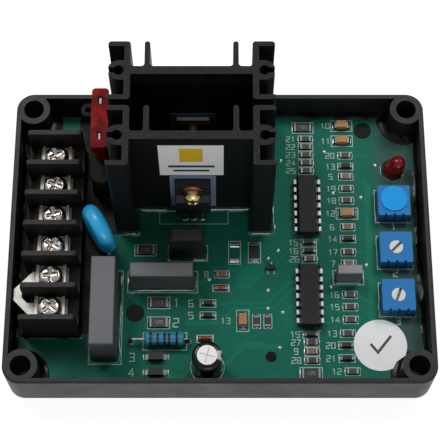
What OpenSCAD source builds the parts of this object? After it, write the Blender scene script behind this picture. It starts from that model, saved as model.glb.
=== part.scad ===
// Potted voltage regulator module in an open tray, all sizes in millimetres.
// The origin is the middle of the tray's underside, with +X to the right and +Z up.
// Columns of parts run along X and rows along Y: their widths and gaps add up to the tray's size.

/* [Case] */
// Wall thickness of the tray
wall = 1.5; // [1:0.1:2.5]
// Floor thickness of the tray
floor_t = 2; // [1.2:0.1:4]
// Diameter of a mounting hole
hole_d = 6; // [4:0.5:7]
// Width of the ring round a mounting hole
boss_ring = 1.8; // [1.2:0.1:3]
// Land between a boss and the outer corner
edge_land = 0.4; // [0.2:0.1:1]
// Resin depth under the board
under_board = 2.5; // [2:0.1:6]
// Depth of the board's top face below the rim
board_drop = 9.4; // [5:0.1:14]
// Radius of the rim's outer edge
rim_r = 0.6; // [0.2:0.1:1.2]

/* [Circuit board] */
// Thickness of the board
board_t = 1.6; // [0.8:0.2:2.4]
// Gap between the board and the side walls
board_gap_x = 0.9; // [0.3:0.1:2]
// Gap between the board and the end walls
board_gap_y = 1.7; // [0.3:0.1:2.5]
// Gap between a corner boss and the board's cut-out
cutout_gap = 2.4; // [0.5:0.1:3]
// Depth of the resin's surface below the board's top face
potting_drop = 0.3; // [0.1:0.1:1]
// Diameter of the two large filling holes
large_vent_d = 5.4; // [3:0.1:6]
// Diameter of the two small filling holes
small_vent_d = 3.2; // [2:0.1:4]
// Diameter of a round component lead
lead_d = 0.7; // [0.5:0.1:0.9]
// Clearance round a lead in its hole
lead_gap = 0.1; // [0.05:0.05:0.2]
// Clearance round a cast or shrunk piece
bond_gap = 0.05; // [0.02:0.01:0.1]

/* [Columns from left to right] */
// Gap from the left wall to the terminal strip
terminal_wall_gap = 3.2; // [3.2:0.1:8]
// Gap from the terminal strip to the fuse socket
terminal_fuse_gap = 2.4; // [2.4:0.1:8]
// Gap from the fuse socket to the heatsinks
fuse_sink_gap = 0.7; // [0.7:0.1:5]
// Distance from the heatsinks to the amplifiers' centre line
sink_to_amplifier = 10.9; // [9:0.1:18]
// Distance from the amplifiers to the chip column
amplifier_to_chips = 11.9; // [11:0.1:18]
// Distance from the chip column to the trimmers' centre line
chips_to_trimmers = 13.65; // [12:0.05:20]
// Gap from the trimmers to the right wall
trimmer_wall_gap = 3.3; // [2:0.1:8]

/* [Rows from back to front] */
// Gap from the back wall to the rear heatsink
rear_gap = 2.4; // [1.2:0.1:6]
// Gap between the two heatsinks
sink_gap = 1.9; // [1:0.1:8]
// Gap from the front heatsink to the rectifier
sink_to_bridge = 4.9; // [3:0.1:10]
// Gap from the rectifier to the medium capacitor
bridge_to_film = 5; // [3:0.1:10]
// Depth of the field in front of the medium capacitor
front_field = 29.6; // [28:0.1:40]

/* [Heatsinks] */
// Width of the extrusion
sink_w = 46; // [40:0.5:60]
// Depth of the extrusion
sink_d = 17.8; // [16:0.1:24]
// Cut length of the extrusion, which is its height
sink_h = 48.5; // [47:0.5:70]
// Thickness of the web
web_t = 2.4; // [1.8:0.1:3]
// Thickness of a fin
fin_t = 1.5; // [1:0.1:2]
// Distance of a fin from the middle of the web
fin_offset = 12.2; // [9:0.1:13]
// Width of a flange
flange_w = 6.2; // [5.8:0.1:8]
// Thickness of a flange's inner plate
flange_plate = 1.7; // [1.2:0.1:2]
// Thickness of a flange's end arms
arm_t = 1.4; // [1:0.1:2]
// Diameter of the screw channel
channel_d = 3; // [2.8:0.1:3.2]
// Wall of the screw channel
channel_wall = 1.5; // [1.2:0.1:1.8]
// Width of the screw channel's mouth
channel_mouth = 1.7; // [1:0.1:2]
// Depth that the heatsink screws reach into the channels
channel_reach = 6; // [4:0.5:12]
// Radius of the fillets at the roots of the fins
root_r = 0.9; // [0.4:0.1:1.2]
// Radius of the flanges' outer corners
edge_r = 0.9; // [0.2:0.1:1]

/* [Power devices] */
// Width of the device
device_w = 10.2; // [9:0.1:12]
// Thickness of the device's body
device_t = 4.5; // [4:0.1:5]
// Height of the device with its tab
device_h = 15.8; // [14:0.1:17]
// Thickness of the tab
tab_t = 2.7; // [2:0.1:3.2]
// Height of the tab
tab_h = 6; // [5.6:0.1:6.5]
// Height of the device above the board
device_lift = 7.2; // [6:0.1:7.5]
// Drop from the tab's top edge to the screw
screw_drop = 2.9; // [2.8:0.1:3.1]
// Width of the insulating sheet
pad_w = 13.2; // [12:0.1:16]
// Height of the insulating sheet
pad_h = 21.5; // [20.5:0.1:21.5]
// Thickness of the insulating sheet
pad_t = 0.3; // [0.1:0.05:0.5]
// Height of the insulating sheet above the board
pad_lift = 3; // [2.5:0.1:3]
// Diameter of the device screw
screw_d = 3; // [2.5:0.1:3]
// Diameter of the device screw's head
screw_head_d = 5.2; // [4.6:0.1:5.4]
// Height of the device screw's head
screw_head_h = 1.9; // [1.4:0.1:2.2]
// Diameter of the flat washer
washer_d = 6.2; // [5.8:0.1:6.4]
// Thickness of a flat or a spring washer
washer_t = 0.6; // [0.4:0.1:0.8]
// Width of the label
label_w = 18; // [12:0.5:24]
// Height of the label
label_h = 19.5; // [12:0.5:20]
// Thickness of a label or sticker
label_t = 0.12; // [0.08:0.02:0.2]
// Gap from the insulating sheet up to the label
label_gap = 0.4; // [0.2:0.1:1]

/* [Terminal strip] */
// Number of terminals
ways = 6; // [6:1:6]
// Terminal spacing
terminal_pitch = 9.5; // [9.5:0.1:10]
// Width of the strip
terminal_w = 16; // [15:0.1:20]
// Height of the barriers above the board
barrier_h = 16.2; // [14:0.1:20]
// Thickness of a barrier
barrier_t = 1.4; // [1:0.1:1.5]
// Height of the terminal seats above the board
seat_h = 6; // [5:0.1:8]
// Radius of a barrier's upper corners
barrier_r = 1.2; // [0.6:0.1:2]
// Width of the slope where a wire enters
entry_w = 2; // [1:0.1:2.6]
// Height of the slope where a wire enters
entry_h = 2.4; // [1:0.1:3]
// Offset of the strip's middle from the tray's middle
terminal_y = 0.6; // [0:0.1:1]
// Length of a terminal plate
plate_l = 9.6; // [9.2:0.1:11]
// Thickness of the terminal plates and of the link
plate_t = 0.8; // [0.6:0.1:1]
// Length of a clamp
clamp_l = 8.6; // [8:0.1:9]
// Thickness of a clamp
clamp_t = 0.9; // [0.6:0.1:1]
// Gap between a plate or a clamp and the barriers
bay_gap = 0.35; // [0.2:0.05:0.5]
// Diameter of a terminal screw
terminal_screw_d = 3.5; // [3:0.1:4]
// Diameter of a terminal screw's head
terminal_head_d = 6.4; // [6:0.1:7]
// Height of a terminal screw's head
terminal_head_h = 2.2; // [1.8:0.1:2.4]
// Width of the link's arms
link_arm_w = 4.4; // [4:0.1:5]
// Width of the link's back
link_back_w = 2.3; // [2:0.1:2.3]

/* [Fuse] */
// Length of the socket
holder_l = 28; // [26:0.5:30]
// Width of the socket
holder_w = 6.6; // [6:0.1:8]
// Height of the socket
holder_h = 12.5; // [11:0.5:16]
// Length of the fuse's head
fuse_l = 19.1; // [19:0.1:20]
// Thickness of the fuse's head
fuse_t = 5; // [4.6:0.1:5.6]
// Height of the fuse above its socket
fuse_h = 11.5; // [10:0.5:13]
// Spacing of the two blades
blade_pitch = 11.4; // [11.2:0.1:11.8]
// Width of a blade
blade_w = 4.6; // [4:0.1:4.8]
// Thickness of a blade
blade_t = 0.65; // [0.5:0.05:0.8]
// Depth of the blades in the socket
blade_depth = 8; // [6:0.5:9]

/* [Boxes and cans] */
// Length of the large capacitor
large_film_l = 26.2; // [22:0.1:27]
// Width of the large capacitor
large_film_w = 7; // [5:0.1:8]
// Height of the large capacitor
large_film_h = 16; // [12:0.5:20]
// Length of the medium capacitor
medium_film_l = 18.3; // [14:0.1:19]
// Width of the medium capacitor
medium_film_w = 4.5; // [4:0.1:6]
// Height of the medium capacitor
medium_film_h = 11; // [8:0.5:14]
// Length of the small capacitor
small_film_l = 7.4; // [6.5:0.1:8]
// Width of the small capacitor
small_film_w = 2.9; // [2.5:0.1:3.3]
// Height of the small capacitor
small_film_h = 7.5; // [5:0.1:9]
// Radius of a capacitor box's edges
box_r = 0.5; // [0.2:0.1:0.8]
// Height of a capacitor box's feet
foot_h = 0.4; // [0.2:0.1:0.8]
// Length of a capacitor box's feet
foot_l = 1.2; // [0.8:0.1:2]
// Diameter of the varistor
varistor_d = 15.4; // [12:0.1:16]
// Thickness of the varistor
varistor_t = 4.8; // [4:0.1:5.2]
// Height of the varistor's lower edge above the board
varistor_lift = 2.4; // [1:0.1:4]
// Turn of the varistor seen from above
varistor_turn = -60; // [-75:1:-50]
// Spacing of the varistor's leads
varistor_pitch = 7.5; // [5:0.1:8]
// Width of the rectifier
bridge_w = 10.2; // [9:0.1:12]
// Thickness of the rectifier
bridge_t = 3.5; // [3:0.1:4.5]
// Height of the rectifier
bridge_h = 15; // [12:0.5:18]
// Length of the wire resistor's body
resistor_l = 11.4; // [10:0.1:12]
// Diameter of the wire resistor's end bulges
resistor_d = 4.2; // [3.6:0.1:4.6]
// Height of the wire resistor above the board
resistor_lift = 0.5; // [0.3:0.1:2]
// Diameter of the electrolytic capacitor over its sleeve
can_d = 8.7; // [6:0.1:9]
// Height of the electrolytic capacitor
can_h = 12; // [9:0.5:16]
// Thickness of the sleeve
sleeve_t = 0.3; // [0.2:0.05:0.4]
// Diameter of the bare top inside the sleeve's rolled edge
can_top_d = 5.6; // [4:0.1:5.8]
// Height of the crimped neck's middle above the board
neck_z = 2; // [1.2:0.1:4]
// Radius of the crimped neck's groove
neck_r = 0.7; // [0.5:0.1:1]
// Diameter of the lamp
led_d = 5; // [4:0.1:6]
// Height of the lamp
led_h = 8.4; // [7:0.1:10]

/* [Amplifiers] */
// Pins in a row
pins_in_row = 7; // [4:1:7]
// Pin spacing
pin_pitch = 2.54; // [2.4:0.01:2.6]
// Distance between the two pin rows
pin_row = 7.62; // [7.6:0.01:7.8]
// Width of the body at its parting line
dip_w = 6.4; // [6:0.1:6.6]
// Length of the body
dip_l = 19.4; // [18.5:0.1:19.6]
// Height of the body
dip_h = 3.3; // [3:0.1:4]
// Height of the body's underside above the board
dip_lift = 0.5; // [0.3:0.1:1]
// Draft of the body's sides and ends, from the parting line
dip_draft = 0.6; // [0.2:0.1:0.9]

/* [Trimmers] */
// Side of a trimmer
trimmer_w = 9.5; // [8:0.1:11]
// Height of a trimmer
trimmer_h = 4.9; // [4:0.1:7]
// Radius of a trimmer's upright corners
trimmer_r = 0.4; // [0.2:0.1:0.8]
// Height of a trimmer's front grooves
groove_h = 4.3; // [2:0.1:4.5]
// Width of a trimmer's front grooves
groove_w = 0.7; // [0.5:0.1:1]
// Spacing of the trimmers
trimmer_pitch = 14.8; // [14:0.1:15.4]
// Diameter of a rotor
rotor_d = 4; // [3:0.1:5]
// Depth of a rotor in its body
rotor_depth = 2.2; // [1.5:0.1:2.6]
// Running clearance round and under a rotor
rotor_gap = 0.06; // [0.03:0.01:0.1]
// Width of a rotor's slot
slot_w = 0.8; // [0.6:0.1:1]
// Depth of a rotor's slot
slot_depth = 0.9; // [0.6:0.1:1.2]
// Turn of the stability rotor's slot
stability_turn = 45; // [-180:1:180]
// Turn of the voltage rotor's slot
voltage_turn = 70; // [-180:1:180]
// Diameter of the sealing disc
seal_d = 8; // [5:0.1:9]
// Thickness of the sealing disc
seal_t = 0.4; // [0.2:0.1:0.8]

/* [Surface parts] */
// Length of a small chip
chip_l = 3.2; // [3:0.1:3.4]
// Width of a small chip
chip_w = 1.6; // [1.2:0.1:1.8]
// Height of a small chip
chip_h = 0.7; // [0.5:0.05:1]
// Length of a chip's metal end
chip_end = 0.5; // [0.3:0.05:0.7]
// Length of a large chip
large_chip_l = 5.2; // [5:0.1:5.6]
// Width of a large chip
large_chip_w = 2.8; // [2.4:0.1:3.2]
// Length of a tantalum capacitor
tantalum_l = 4.1; // [3.6:0.1:4.4]
// Width of a tantalum capacitor
tantalum_w = 2.6; // [2.4:0.1:2.8]
// Height of a tantalum capacitor
tantalum_h = 1.9; // [1.5:0.1:2.2]
// Length of a signal diode
diode_l = 3.6; // [3.2:0.1:4]
// Width of a signal diode
diode_w = 1.6; // [1.4:0.1:1.8]
// Length of a power diode's body
power_diode_l = 4.2; // [3.8:0.1:4.6]
// Width of a power diode's body
power_diode_w = 2.7; // [2.4:0.1:3]
// Height of a power diode
power_diode_h = 2.1; // [1.8:0.1:2.4]
// Diameter of a glass diode
glass_d = 1.5; // [1.3:0.1:1.7]
// Draft of a moulded surface part's sides
chip_draft = 0.2; // [0.1:0.05:0.3]
// Diameter of the inspection sticker
sticker_d = 15.4; // [12:0.1:15.6]

/* [Hidden] */
$fn = 48;
// Overshoot of a cutting tool
cut = 1;
// Overlap of a fillet with the walls that it joins
lap = 0.2;

// Tray, worked out from its columns and rows
boss_r = hole_d / 2 + boss_ring;
corner_r = boss_r + edge_land;
inner_r = corner_r - wall;
cavity_w = terminal_wall_gap + terminal_w + terminal_fuse_gap + holder_w + fuse_sink_gap + sink_w
    + sink_to_amplifier + amplifier_to_chips + chips_to_trimmers + trimmer_w / 2 + trimmer_wall_gap;
cavity_d = rear_gap + 2 * sink_d + sink_gap + sink_to_bridge + bridge_t + bridge_to_film + medium_film_w
    + front_field;
outer_w = cavity_w + 2 * wall;
outer_d = cavity_d + 2 * wall;
hole_pitch_x = outer_w - 2 * corner_r;
hole_pitch_y = outer_d - 2 * corner_r;

// Heights
board_bottom = floor_t + under_board;
board_top = board_bottom + board_t;
case_h = board_top + board_drop;
board_w = cavity_w - 2 * board_gap_x;
board_d = cavity_d - 2 * board_gap_y;
cutout_r = boss_r + cutout_gap;

// Columns
left = -cavity_w / 2;
back = cavity_d / 2;
front = -cavity_d / 2;
terminal_x = left + terminal_wall_gap + terminal_w / 2;
fuse_x = terminal_x + terminal_w / 2 + terminal_fuse_gap + holder_w / 2;
sink_x = fuse_x + holder_w / 2 + fuse_sink_gap + sink_w / 2;
amplifier_x = sink_x + sink_w / 2 + sink_to_amplifier;
chip_x = amplifier_x + amplifier_to_chips;
trimmer_x = chip_x + chips_to_trimmers;

// Rows
rear_sink_y = back - rear_gap - sink_d / 2;
front_sink_y = rear_sink_y - sink_d - sink_gap;
bridge_y = front_sink_y - sink_d / 2 - sink_to_bridge - bridge_t / 2;
film_y = bridge_y - bridge_t / 2 - bridge_to_film - medium_film_w / 2;
film_front = film_y - medium_film_w / 2;
fuse_wall_gap = 1.2;
fuse_y = back - fuse_wall_gap - holder_l / 2;
fuse_offset = 1.5;

// Places on the board, from the columns and rows above
large_film_offset = 1.7;
large_film_front_gap = 7.9;
varistor_gap = 10.5;
large_film = [fuse_x + large_film_offset, front + large_film_front_gap + large_film_l / 2];
medium_film = [sink_x - 9, film_y];
small_film = [chip_x - 0.3, -10.5];
varistor_at = [fuse_x - 0.3, large_film[1] + large_film_l / 2 + varistor_gap];
bridge_at = [sink_x - 1.7, bridge_y];
resistor_at = [sink_x - 8.1, film_front - 16];
resistor_left_reach = 4;
resistor_right_reach = 1;
can_at = [sink_x + 4.2, front + 1.6 + can_d / 2];
led_at = [trimmer_x + 0.6, 24.2];
amplifier_ys = [11.7, -16.8];
trimmer_ys = [for (i = [1, 0, -1]) -2.6 + i * trimmer_pitch];
sticker_at = [trimmer_x - 5.4, -31.2];
vents = [
    [[sink_x - 16.9, film_front - 7.35], large_vent_d],
    [[chip_x + 5.6, 37.4], large_vent_d],
    [[sink_x + 14.3, -11.5], small_vent_d],
    [[sink_x + 22.5, -34.7], small_vent_d]
];

// Surface parts: rows along Y of the two columns, then centre and turn of each part
rear_bank_y = 34.5;
rear_bank_pitch = 2.65;
amplifier_resistor_ys = [-4.7, -30.4, -35.8];
column_resistor_ys = [29, 18, 14.1, -2.5, -15.8, -19.6, -23.5, -39.1];
column_ceramic_ys = [22, 5.5, -6.1];
column_diode_ys = [25.3, 1.7];
sticker_diode_ys = [-31.3, -35.2];
amplifier_diode_ys = [0.6, -2.1, -28];
front_pair_xs = [18.4, 21.7];
front_pair_drop = 9.9;
column_end = [-1, -27.7];
lower_ceramic = [0.4, -33.1];
film_ceramic = [8.4, 2.4];
film_glass = [8.1, -1.9];
can_glass = [3.5, -15.2];
front_diode_drops = [4.4, 8.1];
front_diode_x = 4.3;
power_diode_drops = [20.75, 25.3];
power_diode_x = -10.6;
transistor_offset = [22.8, -4.7];
small_resistors = concat(
    [for (i = [0:4]) [amplifier_x, rear_bank_y - i * rear_bank_pitch, 0]],
    [for (y = amplifier_resistor_ys) [amplifier_x + 0.4, y, 0]],
    [for (y = column_resistor_ys) [chip_x, y, 0]],
    [[chip_x + column_end[0], column_end[1], 0]],
    [for (x = front_pair_xs) [sink_x + x, film_front - front_pair_drop, 90]]
);
large_resistors = [
    [sink_x - 10, film_front - 4.2, 0],
    [sink_x - 10, film_front - 10.3, 0],
    [sink_x - 14.2, bridge_y + 1, 0],
    [sink_x + 18, bridge_y + 0.2, 90],
    [amplifier_x - 0.8, 38.4, 0],
    [amplifier_x, -39.7, 0]
];
tantalums = [
    [chip_x - 0.8, 39, 0],
    [chip_x - 0.8, 33.9, 0],
    [chip_x, 9.9, 0],
    [sink_x + 14.4, film_front - 9.7, 90]
];
ceramics = concat(
    [for (y = column_ceramic_ys) [chip_x, y, 0]],
    [[amplifier_x + lower_ceramic[0], lower_ceramic[1], 0]],
    [[sink_x + film_ceramic[0], film_y + film_ceramic[1], 0]]
);
signal_diodes = concat(
    [for (y = column_diode_ys) [chip_x, y, 0]],
    [for (y = sticker_diode_ys) [chip_x - 1.5, y, 0]],
    [for (y = amplifier_diode_ys) [amplifier_x + 0.2, y, 0]],
    [for (d = front_diode_drops) [sink_x + front_diode_x, film_front - d, 0]]
);
big_diodes = [for (d = power_diode_drops) [sink_x + power_diode_x, film_front - d, 0]];
glass = [
    [sink_x + film_glass[0], film_y + film_glass[1], 0],
    [sink_x + can_glass[0], film_front + can_glass[1], 0]
];
transistor_at = [sink_x + transistor_offset[0], bridge_y + transistor_offset[1]];

// Power device on a heatsink: screw axis height and the faces in front of the web
screw_z = board_top + device_lift + device_h - screw_drop;
tab_hole_d = screw_d + 0.3;
// Thread clearance of a screw in its tapped hole
thread_gap = 0.05;
device_lead_w = 0.8;
device_lead_t = 0.5;
device_lead_setback = 2.6;
device_hole_d = 1.2;

// Terminal strip
strip_l = ways * terminal_pitch + barrier_t;
bay_w = terminal_pitch - barrier_t;
plate_w = bay_w - 2 * bay_gap;
leg_w = 2;
leg_hole_d = 2.4;
linked = [ways - 2, ways - 1];
function terminal_at(i) = [terminal_x, terminal_y + ((ways - 1) / 2 - i) * terminal_pitch];
function stack_z(i) = board_top + seat_h + plate_t + (i >= linked[0] ? plate_t : 0);

// Lead places of each kind, shared by the leads and by the board's holes
function pair(p, pitch, along_y) = [
    for (s = [-1, 1]) [p[0] + (along_y ? 0 : s * pitch / 2), p[1] + (along_y ? s * pitch / 2 : 0)]
];
film_inset = 1.9;
varistor_dir = [cos(varistor_turn), sin(varistor_turn)];
varistor_leads = [for (s = [-1, 1]) varistor_at + s * varistor_pitch / 2 * varistor_dir];
film_leads = concat(
    pair(large_film, large_film_l - 2 * film_inset, true),
    pair(medium_film, medium_film_l - 2 * film_inset, false),
    pair(small_film, small_film_l - 2 * film_inset / 2, false)
);
bridge_leads = [for (i = [-1.5:1:1.5]) [bridge_at[0] + i * pin_pitch, bridge_at[1]]];
can_leads = pair(can_at, 3.5, false);
led_leads = pair(led_at, pin_pitch, false);
resistor_leads = [
    [resistor_at[0] - resistor_l / 2 - resistor_left_reach, resistor_at[1]],
    [resistor_at[0] + resistor_l / 2 + resistor_right_reach, resistor_at[1]]
];
short_leads = concat(film_leads, bridge_leads, can_leads, led_leads);
trimmer_leads = [
    for (y = trimmer_ys, p = [[-pin_pitch, 0], [pin_pitch, 0], [0, -pin_pitch]]) [trimmer_x + p[0], y + p[1]]
];
amplifier_leads = [
    for (y = amplifier_ys, s = [-1, 1], i = [0:pins_in_row - 1])
        [amplifier_x + s * pin_row / 2, y + (i - (pins_in_row - 1) / 2) * pin_pitch]
];
sink_ys = [rear_sink_y, front_sink_y];
device_leads = [
    for (y = sink_ys, i = [-1, 0, 1])
        [sink_x + i * pin_pitch, y - web_t / 2 - pad_t - device_lead_setback]
];
channel_r = channel_d / 2 + channel_wall;
channel_in = flange_w - channel_r;
channel_places = [
    for (y = sink_ys, s = [-1, 1]) [sink_x + s * (sink_w / 2 - flange_w + channel_in), y]
];
sink_screw_head_d = 5;
sink_screw_head_h = 1.6;
fuse_places = [for (s = [-1, 1]) [fuse_x, fuse_y + fuse_offset + s * blade_pitch / 2]];
clip_tail = 1.6;
clip_hole_d = 2;

// Plan shapes
module rounded_rect(w, d, r) {
    square([w - 2 * r, d], center = true);
    square([w, d - 2 * r], center = true);
    for (sx = [-1, 1], sy = [-1, 1])
        translate([sx * (w / 2 - r), sy * (d / 2 - r)])
            circle(r);
}

// Upright rectangle on the X axis with rounded upper corners
module arch(l, h, r) {
    translate([-l / 2, 0])
        square([l, h - r]);
    translate([r - l / 2, 0])
        square([l - 2 * r, h]);
    for (s = [-1, 1])
        translate([s * (l / 2 - r), h - r])
            circle(r);
}

// Piece between a corner and the circle that touches both its sides: joined on as a fillet, or cut off
module corner_web(p, sx, sy, r) {
    translate(p)
        difference() {
            translate([sx > 0 ? -lap : -r, sy > 0 ? -lap : -r])
                square(r + lap);
            translate([sx * r, sy * r])
                circle(r);
        }
}

// Upright hexagon on the X axis, drafted both ways from its parting line
module drafted(l, h, draft) {
    polygon([
        [draft - l / 2, 0], [l / 2 - draft, 0], [l / 2, h / 2],
        [l / 2 - draft, h], [draft - l / 2, h], [-l / 2, h / 2]
    ]);
}

module along_x(l) {
    translate([-l / 2, 0, 0])
        rotate([90, 0, 90])
            linear_extrude(l)
                children();
}

module along_y(l) {
    translate([0, l / 2, 0])
        rotate([90, 0, 0])
            linear_extrude(l)
                children();
}

module at_corners() {
    for (sx = [0, 1], sy = [0, 1])
        mirror([sx, 0])
            mirror([0, sy])
                translate([hole_pitch_x / 2, hole_pitch_y / 2])
                    children();
}

module cavity_outline(gap = 0) {
    difference() {
        rounded_rect(cavity_w - 2 * gap, cavity_d - 2 * gap, inner_r - gap);
        at_corners()
            circle(boss_r + gap);
    }
}

module board_outline(gap = 0) {
    reach = 2 * cutout_r;
    r = cutout_r - gap;
    difference() {
        square([board_w + 2 * gap, board_d + 2 * gap], center = true);
        at_corners() {
            circle(r);
            translate([0, -r])
                square(reach);
            translate([-r, 0])
                square(reach);
        }
    }
}

module drill(places, d) {
    for (p = places)
        translate(p)
            circle(d = d);
}

// Tray and board
module tray_block() {
    along_x(hole_pitch_x)
        arch(outer_d, case_h, rim_r);
    along_y(hole_pitch_y)
        arch(outer_w, case_h, rim_r);
    at_corners()
        rotate_extrude(angle = 90) {
            square([corner_r, case_h - rim_r]);
            square([corner_r - rim_r, case_h]);
            translate([corner_r - rim_r, case_h - rim_r])
                circle(rim_r);
        }
}

module case() {
    color("#2b2b2d")
        difference() {
            tray_block();
            translate([0, 0, floor_t])
                linear_extrude(case_h)
                    cavity_outline();
            translate([0, 0, -cut])
                linear_extrude(case_h + 2 * cut)
                    at_corners()
                        circle(d = hole_d);
        }
}

module potting_compound() {
    color("#17181a") {
        difference() {
            translate([0, 0, floor_t])
                linear_extrude(board_top - potting_drop - floor_t)
                    cavity_outline(bond_gap);
            translate([0, 0, board_bottom])
                linear_extrude(board_t + cut)
                    board_outline(bond_gap);
            for (p = channel_places)
                translate([p[0], p[1], board_bottom - sink_screw_head_h - bond_gap])
                    cylinder(d = sink_screw_head_d + 2 * bond_gap, h = sink_screw_head_h + cut);
        }
        for (v = vents)
            translate([v[0][0], v[0][1], board_bottom - cut])
                cylinder(d = v[1] - 2 * bond_gap, h = board_t + cut - potting_drop / 2);
    }
}

module circuit_board() {
    color("#15604a")
        translate([0, 0, board_bottom])
            linear_extrude(board_t)
                difference() {
                    board_outline();
                    for (v = vents)
                        translate(v[0])
                            circle(d = v[1]);
                    drill(concat(short_leads, resistor_leads, varistor_leads), lead_d + 2 * lead_gap);
                    drill(concat(trimmer_leads, amplifier_leads), lead_d + lead_gap);
                    drill(device_leads, device_hole_d);
                    drill([for (i = [0:ways - 1]) terminal_at(i) + [plate_l / 2 - plate_t / 2, 0]], leg_hole_d);
                    drill(fuse_places, clip_hole_d);
                    drill(channel_places, channel_d + 2 * lead_gap);
                }
}

// Heatsink extrusion: a web, two fins behind it and two flanges with a screw channel each
module flange_profile() {
    difference() {
        union() {
            translate([0, -sink_d / 2])
                square([flange_plate, sink_d]);
            for (y = [-sink_d / 2, sink_d / 2 - arm_t])
                translate([0, y])
                    square([flange_w, arm_t]);
            translate([0, -channel_r])
                square([channel_in, 2 * channel_r]);
            translate([channel_in, 0])
                circle(channel_r);
        }
        translate([channel_in, 0])
            circle(d = channel_d);
        translate([channel_in, -channel_mouth / 2])
            square([flange_w, channel_mouth]);
        for (s = [-1, 1]) {
            corner_web([0, s * sink_d / 2], 1, -s, edge_r);
            corner_web([flange_w, s * sink_d / 2], -1, -s, edge_r);
        }
    }
}

module sink_profile() {
    inner = sink_w / 2 - flange_w;
    square([2 * inner + flange_plate, web_t], center = true);
    for (s = [-1, 1])
        translate([s * fin_offset, 0]) {
            translate([-fin_t / 2, 0])
                square([fin_t, sink_d / 2 - fin_t / 2]);
            translate([0, sink_d / 2 - fin_t / 2])
                circle(d = fin_t);
            for (t = [-1, 1])
                corner_web([t * fin_t / 2, web_t / 2], t, 1, root_r);
        }
    for (s = [0, 1])
        mirror([s, 0]) {
            translate([inner, 0])
                flange_profile();
            corner_web([inner, web_t / 2], -1, 1, root_r);
        }
}

module heatsink(y) {
    color("#232326")
        difference() {
            translate([sink_x, y, board_top])
                linear_extrude(sink_h)
                    sink_profile();
            translate([sink_x, y + web_t, screw_z])
                rotate([90, 0, 0])
                    cylinder(d = screw_d + 2 * thread_gap, h = 2 * web_t);
        }
}

module rear_heatsink() {
    heatsink(rear_sink_y);
}

module front_heatsink() {
    heatsink(front_sink_y);
}

module heatsink_screws() {
    color("silver")
        for (p = channel_places)
            translate([p[0], p[1], board_bottom]) {
                translate([0, 0, -sink_screw_head_h])
                    cylinder(d = sink_screw_head_d, h = sink_screw_head_h);
                cylinder(d = channel_d - 2 * thread_gap, h = board_t + channel_reach);
            }
}

// Power devices: local frame on the front face of a web, at the foot of the board
module on_web(y) {
    translate([sink_x, y - web_t / 2, board_top])
        children();
}

module screw_bore(d, depth) {
    translate([0, cut, screw_z - board_top])
        rotate([90, 0, 0])
            cylinder(d = d, h = depth + cut);
}

module insulator(y) {
    color("#7e8a9c")
        on_web(y)
            difference() {
                translate([-pad_w / 2, -pad_t, pad_lift])
                    cube([pad_w, pad_t, pad_h]);
                screw_bore(tab_hole_d, pad_t + cut);
            }
}

module rear_insulator() {
    insulator(rear_sink_y);
}

module front_insulator() {
    insulator(front_sink_y);
}

module thyristor(y) {
    slope = 1.2;
    body_h = device_h - tab_h;
    color("#1f1f20")
        on_web(y)
            difference() {
                translate([device_w / 2, -pad_t, device_lift])
                    rotate([90, 0, -90])
                        linear_extrude(device_w)
                            polygon([
                                [0, 0], [device_t, 0], [device_t, body_h - slope],
                                [tab_t, body_h], [tab_t, device_h], [0, device_h]
                            ]);
                screw_bore(tab_hole_d, pad_t + device_t + cut);
            }
}

module rear_thyristor() {
    thyristor(rear_sink_y);
}

module front_thyristor() {
    thyristor(front_sink_y);
}

module thyristor_leads() {
    shoulder_w = 1.3;
    shoulder_h = 3;
    color("#c9cacc")
        for (p = device_leads)
            translate([p[0], p[1], board_bottom]) {
                translate([-device_lead_w / 2, -device_lead_t / 2, 0])
                    cube([device_lead_w, device_lead_t, board_t + device_lift]);
                translate([-shoulder_w / 2, -device_lead_t / 2, board_t + device_lift - shoulder_h])
                    cube([shoulder_w, device_lead_t, shoulder_h]);
            }
}

// Along a device screw's axis, starting at the tab's front face
module on_tab(offset) {
    for (y = sink_ys)
        translate([sink_x, y - web_t / 2 - pad_t - tab_t - offset, screw_z])
            rotate([90, 0, 0])
                children();
}

module flat_washers() {
    color("#b8912f")
        on_tab(0)
            difference() {
                cylinder(d = washer_d, h = washer_t);
                translate([0, 0, -cut])
                    cylinder(d = tab_hole_d, h = washer_t + 2 * cut);
            }
}

module spring_washers() {
    split = 0.6;
    color("#a98227")
        on_tab(washer_t)
            difference() {
                cylinder(d = screw_head_d, h = washer_t);
                translate([0, 0, -cut])
                    cylinder(d = tab_hole_d, h = washer_t + 2 * cut);
                rotate(35)
                    translate([0, -split / 2, -cut])
                        cube([screw_head_d, split, washer_t + 2 * cut]);
            }
}

module cross_recess(size, depth) {
    slot = size / 4;
    for (turn = [0, 90])
        rotate(turn)
            translate([-size / 2, -slot / 2, -depth])
                cube([size, slot, depth + cut]);
}

module pan_head(d, h) {
    crown = 1.5 * d;
    edge = 0.3 * h;
    drop = 0.12 * h;
    rotate_extrude()
        intersection() {
            union() {
                square([d / 2, h - drop - edge]);
                square([d / 2 - edge, h]);
                translate([d / 2 - edge, h - drop - edge])
                    circle(edge);
            }
            translate([0, h - crown])
                circle(crown);
        }
}

module device_screws() {
    grip = 2 * washer_t + tab_t + pad_t + web_t;
    tip = 1.2;
    color("#c29a38")
        on_tab(2 * washer_t) {
            difference() {
                pan_head(screw_head_d, screw_head_h);
                translate([0, 0, screw_head_h])
                    rotate(20)
                        cross_recess(screw_head_d * 0.6, screw_head_h / 2);
            }
            translate([0, 0, -grip - tip])
                cylinder(d = screw_d, h = grip + tip);
        }
}

module heatsink_label() {
    color("#e9eaec")
        on_web(front_sink_y)
            translate([-label_w / 2 - 0.2, -label_t, pad_lift + pad_h + label_gap])
                cube([label_w, label_t, label_h]);
}

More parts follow.
